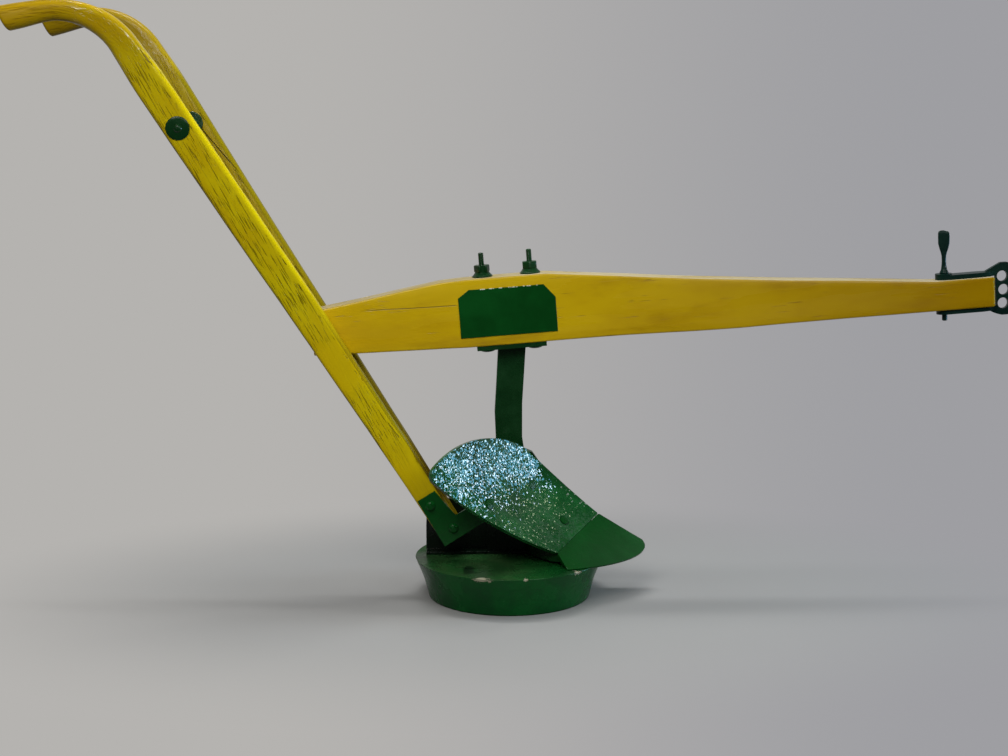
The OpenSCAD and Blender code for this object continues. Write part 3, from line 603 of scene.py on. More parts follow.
def plinth_profile():
    """Radius and height, out over the foot, up the side and back over the top."""
    profile = [(0.5, 0.0), (60, 0.0), (120, 0.0), (FOOT_R - FOOT_C, 0.0), (FOOT_R - FOOT_C * 0.35, 0.4)]
    for k in range(SIDE_STEPS + 1):
        z = mix(FOOT_C, GROUND - RIM_C, k / SIDE_STEPS)
        profile.append((plinth_side(z), z))
    profile += [(RIM_R - 0.35, GROUND - 0.35), (RIM_R - RIM_C, GROUND)]
    r = RIM_R - 3
    while r > 3:
        profile.append((r, GROUND))
        r -= 2.6 if r > 140 else 8
    return profile + [(0.5, GROUND)]


def chip_away(p, out, angle, r, h):
    """Moves a point near the rim in where a chip is."""
    for middle, z0, half, tall, deep in CHIPS:
        off = (math.degrees(angle) - middle + 180) % 360 - 180
        along = off * math.pi / 180 * RIM_R / half
        high = (h - z0) / tall if r > RIM_R - 2 else (RIM_R - r) / (tall * 0.6)
        inside = 1 - (along ** 2 + high ** 2) + wobble(p, 1 / 3.0, 0.5)
        if inside > 0:
            depth = deep * min(1.0, inside * 2.2)
            p -= out * depth
            p.z -= depth * 0.45 if h > GROUND - 2 else 0


def make_plinth():
    """Rough casting with a chipped rim and a slightly uneven top."""
    profile, angles = plinth_profile(), around(360)
    points = []
    for r, h in profile:
        for a in angles:
            p, out = polar(r, a, h), polar(1, a, 0)
            if h > 0.2 and r > FOOT_R - 2:
                p += out * (wobble(p, 1 / 45, 0.55) + wobble(p, 1 / 12, 0.2) - 0.25)
            if h > GROUND - 0.01:
                p.z += -0.12 + wobble(p, 1 / 25, 0.22) if r > 60 else 0
                p.z = min(p.z, GROUND)
            if r > RIM_R - 14 and h > 55:
                chip_away(p, out, a, r, h)
            points.append(p)
    return make_object("plinth_casting", points, tube_faces(len(profile), len(angles)), sharp=45)


plinth = make_plinth()
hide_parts("plinth")


# Castings and plates that keep their CAD shape, with how wide and smooth their edges are rounded

standard = dressed("standard", "standard_casting", 1.3, 3)
landside = dressed("landside", "landside_bar", 1.0)
bracket = dressed("handle_bracket", "handle_bracket_plate", 0.8)
nameplate = dressed("nameplate", "blank_plate", 0.5)
rung = dressed("rung", "rung_rod", 0.9)
heel_bolts = dressed("heel_bolts", "heel_bolt_set", 0.6)
clevis = dressed("clevis", "clevis_forging", 1.4, 3)


# Bolts, nuts and washers

BOLT_XS = (-43.0, 43.0)
FLANGE_T, WASHER_H, NUT_H, STUD_OVER = 7.5, 9.0, 12.5, 22.0
NUT_FOOT = BEAM_DEPTH + WASHER_H
STUD_TOP = NUT_FOOT + NUT_H + STUD_OVER
THREAD_FROM = NUT_FOOT + NUT_H - 4
THREAD_PITCH, THREAD_DEPTH = 1.75, 0.55
THREAD_STEP = 0.29
# Profiles are pairs of a radius and a height over the face that the piece stands on.
BOLT_HEAD = [(0, -6), (4, -5.9), (8, -5.3), (11.5, -4.2), (13.6, -2.9), (14.5, -1.6), (14.4, -0.3),
             (13.9, 0), (5, 0)]
WASHER = [(5.6, 0.2), (17.6, 0.0), (18.5, 0.7), (18.4, 2.0), (17.2, 3.2), (15.2, 5.2), (13.6, 7.4),
          (12.8, 8.7), (12.3, WASHER_H), (5.6, WASHER_H)]
CAP = [(6, -0.4), (19.6, -0.1), (20.5, 0.6), (20.3, 1.5), (19.4, 2.1), (16.0, 2.6), (11.0, 3.1),
       (7.2, 3.5), (6.4, 4.4), (5.6, 5.4), (4.2, 6.2), (2.2, 6.6), (0.02, 6.7)]
MUSHROOM = [(0.02, -2), (9.3, -2), (9.3, 0.2), (9.1, 0.8), (8.4, 1.7), (7.0, 2.7), (5.2, 3.4),
            (3.0, 3.85), (0.02, 4.0)]
BRACKET_SHANK = [(0.02, -45), (4.5, -45), (4.5, 6.8), (4.0, 7.0), (0.02, 7.0)]
LUG_SHANK = [(0.02, -14), (4.5, -14), (4.5, 1.5), (0.02, 1.5)]


def raised(profile, h):
    return [(r, h + z) for r, z in profile]


def hex_nut(place, radius, height, bore_r, turn, fillet=1.2):
    """Hexagon nut with chamfered corners and a bore, turned by degrees."""
    half = math.pi / 6
    flat = radius * math.cos(half)
    angles = around(72)

    def bore_ring(r, h):
        return [polar(r, a, h) for a in angles]

    def hex_ring(cap, h):
        reach = [flat / math.cos((a - math.radians(turn)) % (2 * half) - half) for a in angles]
        return [polar(min(r, cap), a, h) for r, a in zip(reach, angles)]

    rings = [bore_ring(bore_r, 0.4), bore_ring(bore_r + 0.5, 0.0), hex_ring(flat, 0.0),
             hex_ring(radius, fillet), hex_ring(radius, height - fillet * 1.3),
             hex_ring(flat + 0.9, height - 0.4), hex_ring(flat - 0.3, height),
             bore_ring(bore_r + 0.5, height), bore_ring(bore_r, height - 0.5)]
    points = [place @ p for ring in rings for p in ring]
    return make_object("nut", points, tube_faces(len(rings), len(angles), bored=True), sharp=30)


def thread(a, h):
    """Radius change of a screw thread at an angle and a height."""
    if h < THREAD_FROM:
        return 0.0
    t = (h / THREAD_PITCH - a / (2 * math.pi)) % 1.0
    return -THREAD_DEPTH * abs(2 * t - 1)


def beam_bolt(at):
    """Long bolt with a domed head under the flange and a threaded end over the nut."""
    profile = raised(BOLT_HEAD, -FLANGE_T)
    h = THREAD_FROM - 2
    profile.append((5, h))
    while h < STUD_TOP - 1.4:
        h += THREAD_STEP
        profile.append((5.0, h))
    profile += [(4.2, STUD_TOP - 0.5), (3.2, STUD_TOP), (0.02, STUD_TOP)]
    return lathe("bolt", profile, at, 36, 45, thread)


def beam_washer(at):
    return lathe("washer", raised(WASHER, BEAM_DEPTH), at, 56, bored=True)


def beam_nut(at, turn):
    return hex_nut(at @ Matrix.Translation((0, 0, NUT_FOOT)), 14.5, NUT_H, 5.6, turn)


BOLT_FRAMES = [BEAM_FRAME @ Matrix.Translation((x, 0, 0)) for x in BOLT_XS]
beam_bolts = join("beam_bolt_set", [beam_bolt(at) for at in BOLT_FRAMES])
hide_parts("beam_bolts")
beam_washers = join("beam_washer_set", [beam_washer(at) for at in BOLT_FRAMES])
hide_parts("beam_washers")
beam_nuts = join("beam_nut_set", [beam_nut(at, turn) for at, turn in zip(BOLT_FRAMES, (8, 28))])
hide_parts("beam_nuts")

SPLAY = math.atan(RUNG_SLOPE)
FACE_OUT = HANDLE_T / 2 * math.cos(SPLAY)
RUNG_BACK = 3.1


def rung_cap(side):
    """Thin domed disc on the outside of a handle, with its shank."""
    x, z = on_handle(RUNG_ALONG, -RUNG_BACK)
    slope = math.radians(SLOPE)
    front = Vector((math.sin(slope), 0, math.cos(slope)))
    along = Vector((-math.cos(slope) * math.cos(SPLAY), side * math.sin(SPLAY),
                    math.sin(slope) * math.cos(SPLAY)))
    at = place_along((x, BEAM_Y + side * RUNG_SPREAD / 2, z), side * along.cross(front), front)
    return lathe("cap", [(0.02, -FACE_OUT), (6, -FACE_OUT)] + raised(CAP, FACE_OUT), at, 56, 50)


rung_caps = join("rung_cap_set", [rung_cap(side) for side in (-1, 1)])
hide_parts("rung_caps")

BRACKET_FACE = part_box("handle_bracket")[0].y / MM
BRACKET_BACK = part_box("handle_bracket")[1].y / MM
# Places of the bracket's two bolts along and across the handle, and of the lug's screw in X and Z
BRACKET_BOLTS = [(-18, -3.6), (-75, 9.4)]
LUG_X, LUG_Z = -24.0, GROUND + 115
BRACKET_NUT_R = 9.3


def bracket_bolt(s, t):
    """Low mushroom head on the plate, and a shank and nut behind the handle."""
    x, z = on_handle(s, t)
    front = place_along((x, BRACKET_FACE, z), (0, -1, 0))
    back = place_along((x, BRACKET_BACK + HANDLE_T, z), (0, 1, 0))
    return [lathe("mushroom", MUSHROOM, front, 44, 50), lathe("shank", BRACKET_SHANK, back, 30),
            hex_nut(back, BRACKET_NUT_R, 6, 4.6, 12)]


def lug_screw():
    at = place_along((LUG_X, BRACKET_FACE, LUG_Z), (0, -1, 0))
    return [hex_nut(at, BRACKET_NUT_R, 3, 0.3, 5, 0.5), lathe("lug_shank", LUG_SHANK, at, 30)]


bracket_bolts = join("bracket_bolt_set", [ob for spot in BRACKET_BOLTS for ob in bracket_bolt(*spot)]
                     + lug_screw())
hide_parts("bracket_bolts")


# Hitch pin

EYE_T, ARM_GAP = 8, 0.3
PIN_SEAT = NOSE_TOP + ARM_GAP + EYE_T + 2.5 + 0.3
PIN_LOW = -NOSE_DROP - ARM_GAP - EYE_T - 12.5
PIN_LIFT_Z = NOSE_DEPTH / 2 - NOSE_DROP + 1
PIN_LEAN = 1.2
# Height over the seat, rear half width, front half width, half thickness, squareness
PIN_TABLE = [(PIN_LOW - PIN_SEAT, 3.4, 3.4, 3.4, 2), (PIN_LOW - PIN_SEAT + 1.2, 4.8, 4.8, 4.8, 2),
             (-0.4, 4.8, 4.8, 4.8, 2), (0.0, 7.8, 7.8, 7.8, 2), (0.7, 8.2, 8.2, 8.2, 2),
             (2.5, 7.7, 7.7, 7.7, 2), (7, 5.5, 5.5, 5.5, 2), (14, 4.5, 4.5, 4.4, 2),
             (22, 3.9, 3.9, 3.7, 2), (32, 4.1, 4.3, 3.2, 2.4), (38, 5.4, 5.8, 2.8, 3),
             (45, 7.6, 8.3, 2.7, 3.6), (54, 9.9, 10.6, 2.7, 4), (66, 10, 11, 2.7, 4.5),
             (73, 9.8, 10.6, 2.7, 4.5), (76.5, 8.6, 9.2, 2.4, 4), (77.6, 6.8, 7.4, 1.6, 3),
             (78, 5.0, 5.4, 0.6, 2.4)]
PIN_COLUMNS = [[(row[0], row[k]) for row in PIN_TABLE] for k in (1, 2, 3, 4)]
NOTCH_X = 3.2


def pin_heights():
    heights = []
    for (low, *_), (high, *_) in zip(PIN_TABLE, PIN_TABLE[1:]):
        n = max(1, int((high - low) / 1.6))
        heights += [mix(low, high, k / n) for k in range(n)]
    return heights + [PIN_TABLE[-1][0]]


def make_pin():
    """Drop pin lofted from a round shank through a thin neck to a flat, notched thumb plate."""
    lean = Matrix.Translation((PIN_X + 0.5, 0, PIN_LIFT_Z)) @ Matrix.Rotation(math.radians(PIN_LEAN), 4, "Y")
    lean = BEAM_FRAME @ lean @ Matrix.Translation((0, 0, PIN_SEAT - PIN_LIFT_Z))
    heights, angles = pin_heights(), around(40)
    points = []
    for h in heights:
        rear, front, half, power = (lookup(h, column) for column in PIN_COLUMNS)
        for a in angles:
            c, s = math.cos(a), math.sin(a)
            x = math.copysign(abs(c) ** (2 / power), c) * (front if c > 0 else rear)
            y = math.copysign(abs(s) ** (2 / power), s) * half
            notch = 2.0 * math.exp(-((x - NOTCH_X) / 1.4) ** 2) + (1.6 if x > NOTCH_X else 0.0)
            points.append(lean @ Vector((x, y, h - notch * clamp((h - 66) / 12, 0, 1))))
    return make_object("drop_pin", points, tube_faces(len(heights), len(angles)), sharp=50)


hitch_pin = make_pin()
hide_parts("hitch_pin")


# Materials

class Graph:
    """Short way to build the nodes of a world or a material."""

    def __init__(self, owner):
        owner.use_nodes = True
        self.tree = owner.node_tree
        self.tree.nodes.clear()

    def link(self, a, b):
        self.tree.links.new(a, b)

    def feed(self, socket, value):
        """Links an output to the socket, or sets the socket to a plain value."""
        if hasattr(value, "is_output"):
            self.link(value, socket)
        else:
            socket.default_value = value

    def add(self, kind, inputs=None, **settings):
        """Node with its settings made and its inputs fed."""
        node = self.tree.nodes.new(kind)
        for key, value in settings.items():
            setattr(node, key, value)
        for key, value in (inputs or {}).items():
            self.feed(node.inputs[key], value)
        return node

    def coords(self):
        """Object coordinates, in metres."""
        return self.add("ShaderNodeTexCoord").outputs["Object"]

    def grain(self, scale=(1, 1, 1), turn=0.0):
        """Coordinates along and across the wood, turned by degrees and then stretched."""
        vector = self.add("ShaderNodeAttribute", attribute_name="grain").outputs["Vector"]
        if turn:
            vector = self.spin(vector, math.radians(turn))
        return self.vector("MULTIPLY", vector, scale)

    def spin(self, vector, angle):
        """Vector turned about Z."""
        inputs = {"Vector": vector, "Angle": angle}
        return self.add("ShaderNodeVectorRotate", inputs, rotation_type="Z_AXIS").outputs[0]

    def vector(self, kind, *values):
        node = self.add("ShaderNodeVectorMath", dict(enumerate(values)), operation=kind)
        return node.outputs["Value" if kind in ("LENGTH", "DOT_PRODUCT") else 0]

    def length(self, vector, stretch=(1, 1, 1)):
        """Length of a vector after it is stretched."""
        return self.vector("LENGTH", self.vector("MULTIPLY", vector, stretch))

    def xyz(self, vector):
        return self.add("ShaderNodeSeparateXYZ", {0: vector}).outputs

    def normal(self):
        return self.add("ShaderNodeNewGeometry").outputs["Normal"]

    def up(self):
        """How far the surface faces upward."""
        return self.xyz(self.normal())[2]

    def noise(self, vector, scale=1.0, detail=2.0, rough=0.5, distort=0.0):
        inputs = {"Vector": vector, "Scale": scale, "Detail": detail, "Roughness": rough,
                  "Distortion": distort}
        return self.add("ShaderNodeTexNoise", inputs).outputs["Fac"]

    def math(self, kind, *values):
        return self.add("ShaderNodeMath", dict(enumerate(values)), operation=kind).outputs[0]

    def times(self, first, *others):
        for value in others:
            first = self.math("MULTIPLY", first, value)
        return first

    def most(self, first, *others):
        for value in others:
            first = self.math("MAXIMUM", first, value)
        return first

    def scaled(self, a, factor, plus):
        return self.math("MULTIPLY_ADD", a, factor, plus)

    def ramp(self, value, low, high, to_low=0.0, to_high=1.0, smooth=True):
        """Goes from to_low to to_high as the value goes from low to high."""
        inputs = {"Value": value, "From Min": low, "From Max": high, "To Min": to_low, "To Max": to_high}
        kind = "SMOOTHSTEP" if smooth else "LINEAR"
        return self.add("ShaderNodeMapRange", inputs, interpolation_type=kind).outputs[0]

    def mask(self, *ramps):
        """Product of ramps, each given as its arguments."""
        return self.times(*(self.ramp(*ramp) for ramp in ramps))

    def near(self, value, middle, inner, outer, inside=1.0, outside=0.0):
        """Goes from inside to outside between an inner and an outer distance from the middle."""
        off = self.math("ABSOLUTE", self.math("SUBTRACT", value, middle))
        return self.ramp(off, inner, outer, inside, outside)

    def blend(self, factor, a, b):
        """Colour that goes from a to b."""
        a, b = ((*c, 1) if isinstance(c, tuple) else c for c in (a, b))
        return self.add("ShaderNodeMix", {"Factor": factor, 6: a, 7: b}, data_type="RGBA").outputs[2]

    def layers(self, colour, *layers):
        """Lays display colours over a colour, each by its own factor."""
        for factor, tint in layers:
            colour = self.blend(factor, colour, srgb(*tint))
        return colour

    def mix_shader(self, factor, a, b):
        return self.add("ShaderNodeMixShader", {0: factor, 1: a, 2: b}).outputs[0]

    def facets(self, where, scale, tilt):
        """Normal with small facets tilted at random, as on a pitted plate."""
        inputs = {"Vector": where, "Scale": scale, "Smoothness": 0.0}
        cells = self.add("ShaderNodeTexVoronoi", inputs, feature="SMOOTH_F1")
        away = self.vector("SUBTRACT", cells.outputs["Color"], (0.5, 0.5, 0.5))
        away = self.vector("MULTIPLY", away, (tilt, tilt, tilt))
        return self.vector("NORMALIZE", self.vector("ADD", self.normal(), away))

    def bump(self, height, distance, normal=None):
        inputs = {"Height": height, "Distance": distance, "Strength": 1.0}
        if normal:
            inputs["Normal"] = normal
        return self.add("ShaderNodeBump", inputs).outputs[0]


class Surface(Graph):
    """Material with one principled shader."""

    def __init__(self, name):
        self.mat = bpy.data.materials.new(name)
        super().__init__(self.mat)
        self.out = self.add("ShaderNodeOutputMaterial")
        self.bsdf = self.add("ShaderNodeBsdfPrincipled")
        self.link(self.bsdf.outputs[0], self.out.inputs[0])

    def finish(self, colour, rough, normal=None, specular=0.5, shine=None):
        """Feeds the shader; shine multiplies the specular level where that varies over the surface."""
        self.feed(self.bsdf.inputs["Base Color"], colour)
        self.feed(self.bsdf.inputs["Roughness"], rough)
        level = self.bsdf.inputs["Specular IOR Level"]
        level.default_value = specular
        if shine is not None:
            self.link(self.math("MULTIPLY", shine, specular), level)
        if normal:
            self.link(normal, self.bsdf.inputs["Normal"])
        return self.mat


def srgb(r, g, b):
    """Linear colour from 8-bit display values."""
    return tuple(c / 12.92 / 255 if c <= 10.3 else ((c / 255 + 0.055) / 1.055) ** 2.4 for c in (r, g, b))


def times_colour(colour, factor):
    return tuple(c * factor for c in colour)


def is_far(g, x):
    """1 on the far handle, whose grain starts at three metres, and 0 on the near one."""
    return g.ramp(x, 1.5, 1.6)


def along_handle(g, where):
    """Distance along either handle, in metres."""
    x = g.xyz(where)[0]
    return g.math("SUBTRACT", x, g.times(is_far(g, x), FAR_GRAIN * MM))


def plain_zones(g, along):
    """Low at the foot, at the beam's crossing and on the bend, where the paint hides the grain."""
    foot = g.ramp(along, 0.05, 0.13, 0.2, 1.0)
    crossing = g.near(along, 0.28, 0.03, 0.07, 0.15, 1.0)
    bend = g.near(along, 0.975, 0.03, 0.08, 0.2, 1.0)
    return g.times(foot, g.times(crossing, bend))


def painted_wood(name, base, warm, dark, marks, streaks, checks, depth, specular, turn=0.0,
                 fibre=(15, 300, 300), ridge=False):
    """Paint over open grain: streaks and checks are how much of the wood's lines and cracks shows."""
    g = Surface(name)
    where = g.grain()
    hair = g.noise(g.grain(fibre, turn), 1.0, 2.0, 0.6, 0.2)
    wide = g.noise(g.grain((5, 120, 120), turn), 1.0, 2.5, 0.6, 0.25)
    patch = g.noise(g.grain((4, 34, 34)), 1.0, 3.0, 0.55)
    cloud = g.noise(g.grain((5, 12, 12)), 1.0, 4.0, 0.6)
    lines = g.mask((hair, 0.59 - streaks, 0.70 - streaks), (patch, 0.20, 0.40, 0.25, 1.0))
    cracks = g.mask((wide, 0.70 - checks, 0.75 - checks), (patch, 0.42, 0.55))
    colour = g.blend(g.ramp(cloud, 0.36, 0.66), base, warm)
    edge = None
    if ridge:
        edge = g.add("ShaderNodeAttribute", attribute_name="ridge").outputs["Fac"]
        open_grain = g.times(g.ramp(edge, 0.0, 0.7, 1.0, 0.0), plain_zones(g, along_handle(g, where)))
        lines, cracks, hair = (g.times(part, open_grain) for part in (lines, cracks, hair))
        # Painted highlight: the rubbed upper corners are lighter. Painted shade: the lower face is darker.
        colour = g.blend(g.ramp(edge, 0.2, 0.6, 0.0, 0.4), colour, times_colour(base, 1.2))
        colour = g.blend(g.ramp(edge, -0.2, -1.0, 0.0, 0.55), colour, dark)
        ragged = g.noise(g.grain((30, 160, 160)), 1.0, 3.0, 0.6)
        nicks = g.times(g.near(edge, 0.45, 0.10, 0.40), g.ramp(ragged, 0.60, 0.66))
        cracks = g.most(cracks, nicks)
    colour = g.blend(g.times(lines, 0.66), colour, dark)
    colour = g.blend(g.times(cracks, 0.80), colour, times_colour(dark, 0.7))
    height = g.scaled(lines, -1.0, g.times(hair, 0.5))
    height = g.scaled(cracks, -1.5, height)
    colour, height, gloss, shine = marks(g, where, colour, height, edge)
    rough = g.most(g.scaled(gloss, -0.24, g.ramp(patch, 0.3, 0.7, 0.22, 0.36)), 0.05)
    return g.finish(colour, rough, g.bump(height, depth), specular, shine)


def cast_paint(name, light, deep, rough=(0.22, 0.36), grit=0.0004, scale=260.0, marks=None, tilt=0.0,
               specular=0.3):
    """Gloss paint over cast or forged iron; tilt gives it the facets of a pitted plate."""
    g = Surface(name)
    where = g.coords()
    cloud = g.noise(where, 14.0, 4.0, 0.62)
    fine = g.noise(where, scale, 3.0, 0.6)
    lump = g.noise(where, scale / 4.5, 2.0, 0.5)
    colour = g.blend(g.ramp(cloud, 0.32, 0.70), deep, light)
    height = g.scaled(lump, 1.2, fine)
    shine = None
    if marks:
        colour, height, shine = marks(g, where, colour, height)
    base = g.facets(where, 400.0, tilt) if tilt else None
    return g.finish(colour, g.ramp(cloud, 0.3, 0.7, *rough), g.bump(height, grit, base), specular, shine)


def board_marks(g, where, colour, height):
    """Dark rings where the bolt heads sit in the plate."""
    rings = []
    for u, v, r, _proud in BOARD_BOLTS:
        off = g.length(g.vector("SUBTRACT", where, tuple(board(u, v) * MM)))
        rings.append(g.near(off, (r + 0.6) * MM, 0.0004, 0.0013))
    ring = g.most(*rings)
    return g.layers(colour, (g.times(ring, 0.8), (3, 24, 10))), height, g.scaled(ring, -0.9, 1.0)


def beam_marks(g, where, colour, height, _edge):
    """Long check in the near cheek, rubbed patches, dust with a painted sheen on top, painted shade on the
    top's rounded edges, and paint that browns toward the nose and darkens there as painted shade.
    """
    x, z, y = g.xyz(where)
    wave = g.math("SUBTRACT", g.noise(g.grain((14, 14, 14))), 0.5)
    line = g.scaled(wave, 0.003, g.scaled(x, -0.0187, 0.0764))
    span = g.mask((x, -0.275, -0.235), (x, -0.10, -0.088, 1.0, 0.0), (y, -0.020, -0.024))
    crack = g.times(g.near(z, line, 0.0002, 0.0011), span)
    uneven = g.noise(g.grain((7, 26, 26)), 1.0, 4.0, 0.6)
    up = g.up()
    rubbed = g.ramp(uneven, 0.50, 0.78, 0.0, 0.45)
    # Browner toward the nose, and darker there as painted shade where the light falls off.
    browned_and_shaded = g.ramp(x, 0.02, 0.85, 0.0, 0.70, False)
    shaded_top = g.ramp(up, 0.15, 0.7, 0.0, 0.6)
    # Pale dust on the top faces, which also stands in for a painted sheen of the pale backdrop.
    dust_and_sheen = g.mask((up, 0.72, 0.93), (uneven, 0.30, 0.62, 0.42, 0.85))
    dusty_rear = g.mask((up, 0.5, 0.8), (x, -0.10, 0.15, 0.4, 0.0))
    colour = g.layers(colour, (rubbed, (140, 100, 8)), (browned_and_shaded, (138, 98, 3)),
                      (g.times(crack, 0.75), (70, 52, 12)), (shaded_top, (124, 104, 26)),
                      (dust_and_sheen, (176, 168, 142)), (dusty_rear, (120, 104, 60)))
    shine = g.mask((x, 0.70, 0.86, 1.0, 0.05), (up, 0.5, 0.9, 1.0, 0.01))
    return colour, g.scaled(crack, -2.0, height), g.ramp(up, 0.9, 0.5, -0.5, 0.0), shine


def handle_marks(g, where, colour, height, edge):
    """Split below the far rung cap, painted shade on the front face at the foot, a glossy bend, grips gone
    brown with use and darker as painted shade, painted shade on the bend and over the far handle, and front
    faces dark with grime and painted shade.
    """
    x, z, y = g.xyz(where)
    line = g.scaled(g.math("SUBTRACT", x, 3.705), -0.16, 0.0172)
    span = g.mask((x, 3.655, 3.70), (x, 3.765, 3.775, 1.0, 0.0), (y, -0.011, -0.0135))
    crack = g.times(g.near(z, line, 0.0004, 0.0013), span)
    along = along_handle(g, where)
    far = is_far(g, x)
    fresh = g.mask((plain_zones(g, along), 0.2, 0.8, 1.0, 0.0), (along, 0.5, 0.7, 1.0, 0.0))
    # Grips brown with use and darker as painted shade; the bend darker as painted shade where the light
    # falls off.
    browned_and_shaded = g.ramp(along, 0.70, 1.12, 0.0, 0.60)
    bend_shade = g.ramp(along, 0.86, 0.96, 0.0, 0.25)
    # Painted shade: the layers below darken the whole far handle, and its front face more.
    far_front_shade = g.times(far, g.ramp(edge, 0.3, 0.8, 0.0, 0.6))
    brown_foot = g.ramp(along, 0.00, -0.04, 0.0, 0.30)
    # Painted shade: the front face near the foot is tinted near black and loses its gloss.
    foot_front_shade = g.mask((along, 0.12, 0.02), (edge, 0.1, 0.7), (along, -0.055, -0.010, 0.15, 1.0))
    # Front faces dull brown, partly grime and partly painted shade.
    grime_and_shade = g.mask((edge, 0.6, 0.95), (along, 0.46, 0.28, 0.0, 0.6), (along, -0.04, 0.02, 0.2, 1.0))
    colour = g.layers(colour, (browned_and_shaded, (144, 108, 8)), (g.times(fresh, 0.5), (208, 180, 8)),
                      (bend_shade, (128, 96, 10)), (g.times(far, 0.55), (128, 106, 8)),
                      (far_front_shade, (100, 92, 16)), (brown_foot, (110, 84, 10)),
                      (g.times(foot_front_shade, 0.85), (44, 34, 10)), (g.times(crack, 0.9), (30, 24, 6)),
                      (grime_and_shade, (96, 76, 16)))
    grip = g.ramp(along, 1.02, 1.05)
    bend = g.math("SUBTRACT", g.ramp(along, 0.86, 0.93), grip)
    bend = g.times(bend, g.scaled(far, -0.7, 1.0))
    ripple = g.noise(g.grain((140, 280, 280)))
    flecks = g.times(bend, g.ramp(ripple, 0.54, 0.64, 0.2, 9.0))
    height = g.scaled(crack, -3.0, g.scaled(g.times(ripple, bend), 1.3, height))
    shine = g.math("SUBTRACT", g.math("ADD", flecks, 1.0), g.scaled(grip, 0.6, foot_front_shade))
    shine = g.times(shine, g.ramp(edge, 0.4, 0.95, 1.0, 0.05))
    return colour, height, g.math("SUBTRACT", bend, foot_front_shade), shine


def frame_painted_shade(g, where, colour, height):
    """Painted shade: a near-black tint where the frog and the landside lie in the moldboard's shade."""
    x, y, z = g.xyz(where)
    # Painted shade: the low inner faces under the moldboard, short of the landside's outer face, are tinted
    # near black.
    low = g.most(g.ramp(z, 0.150, 0.105), g.mask((x, 0.02, -0.02), (z, 0.24, 0.19)))
    inner = g.mask((y, -0.012, 0.004), (y, (LAND_Y - 3) * MM, (LAND_Y - 1) * MM, 1.0, 0.15))
    return g.layers(colour, (g.times(low, inner, 0.86), (4, 8, 6))), height, None


def plate_marks(g, where, colour, height):
    """Nicks down to bare metal along the blank plate's top edge, and painted light that lightens the
    bracket's lug, which lies in the moldboard's shade.
    """
    tilt = math.radians(BEAM_SLOPE)
    from_beam = g.vector("SUBTRACT", where, tuple(BEAM_AT * MM))
    level = g.vector("DOT_PRODUCT", from_beam, (-math.sin(tilt), 0.0, math.cos(tilt)))
    nick = g.mask((level, 0.1020, 0.1032), (g.noise(where, 170.0), 0.53, 0.58))
    # Painted light: the lug is lightened to make up for the shade it lies in.
    lug_light = g.mask((g.xyz(where)[0], -0.065, -0.03), (level, 0.0, -0.1))
    colour = g.layers(colour, (g.times(lug_light, 0.5), (14, 100, 40)), (g.times(nick, 0.9), (196, 204, 190)))
    return colour, height, g.ramp(g.up(), 0.3, 0.7, 1.0, 0.1)


SMEAR_AT = (-0.077, -0.103, GROUND * MM)


def chip_spot(g, where, ragged, chip):
    """1 inside the ragged outline of a chip in the plinth's rim."""
    angle, z0, half, tall, _deep = chip
    a = math.radians(angle)
    centre = (RIM_R * math.cos(a) * MM, RIM_R * math.sin(a) * MM, z0 * MM)
    local = g.spin(g.vector("SUBTRACT", where, centre), -a - math.pi / 2)
    away = g.length(local, (1000 / half, 1000 / 13.0, 1000 / tall))
    return g.ramp(g.scaled(ragged, 3.2, g.math("SUBTRACT", away, 1.6)), 0.70, 0.95, 1.0, 0.0)


def plinth_marks(g, where, colour, height):
    """Bare chips along the rim, dust and a painted sheen in scuffed patches over the top's rear half,
    painted shade over its front half, a smear on top, and painted contact shade at the foot.
    """
    ragged = g.noise(where, 150.0, 5.0, 0.8)
    chips = g.most(*[chip_spot(g, where, ragged, chip) for chip in CHIPS])
    x, y, z = g.xyz(where)
    top = g.ramp(z, 0.0715, 0.0727)
    scuff = g.noise(where, 26.0, 4.0, 0.6)
    shaded = g.times(top, g.ramp(x, 0.0, 0.10, 0.0, 0.55))
    # Pale dusty patches on the top, which also stand in for a painted sheen.
    dust_and_sheen = g.times(top, g.mask((scuff, 0.3, 0.65, 0.35, 0.75), (x, -0.02, 0.09, 1.0, 0.0)))
    away = g.length(g.vector("SUBTRACT", where, SMEAR_AT), (90.0, 32.0, 60.0))
    smear = g.ramp(g.scaled(ragged, 1.6, away), 1.5, 1.8, 0.8, 0.0)
    # Painted contact shade: the lowest few millimetres of the side are darker.
    foot_contact_shade = g.ramp(z, 0.0035, 0.0005, 0.0, 0.6)
    colour = g.layers(colour, (shaded, (10, 40, 14)), (dust_and_sheen, (44, 68, 38)), (smear, (4, 18, 8)),
                      (foot_contact_shade, (6, 12, 8)), (chips, (146, 144, 122)))
    shine = g.math("SUBTRACT", 1.0, g.times(top, g.ramp(y, -0.03, 0.04, 0.0, 0.92)))
    return colour, g.scaled(chips, -1.5, height), shine


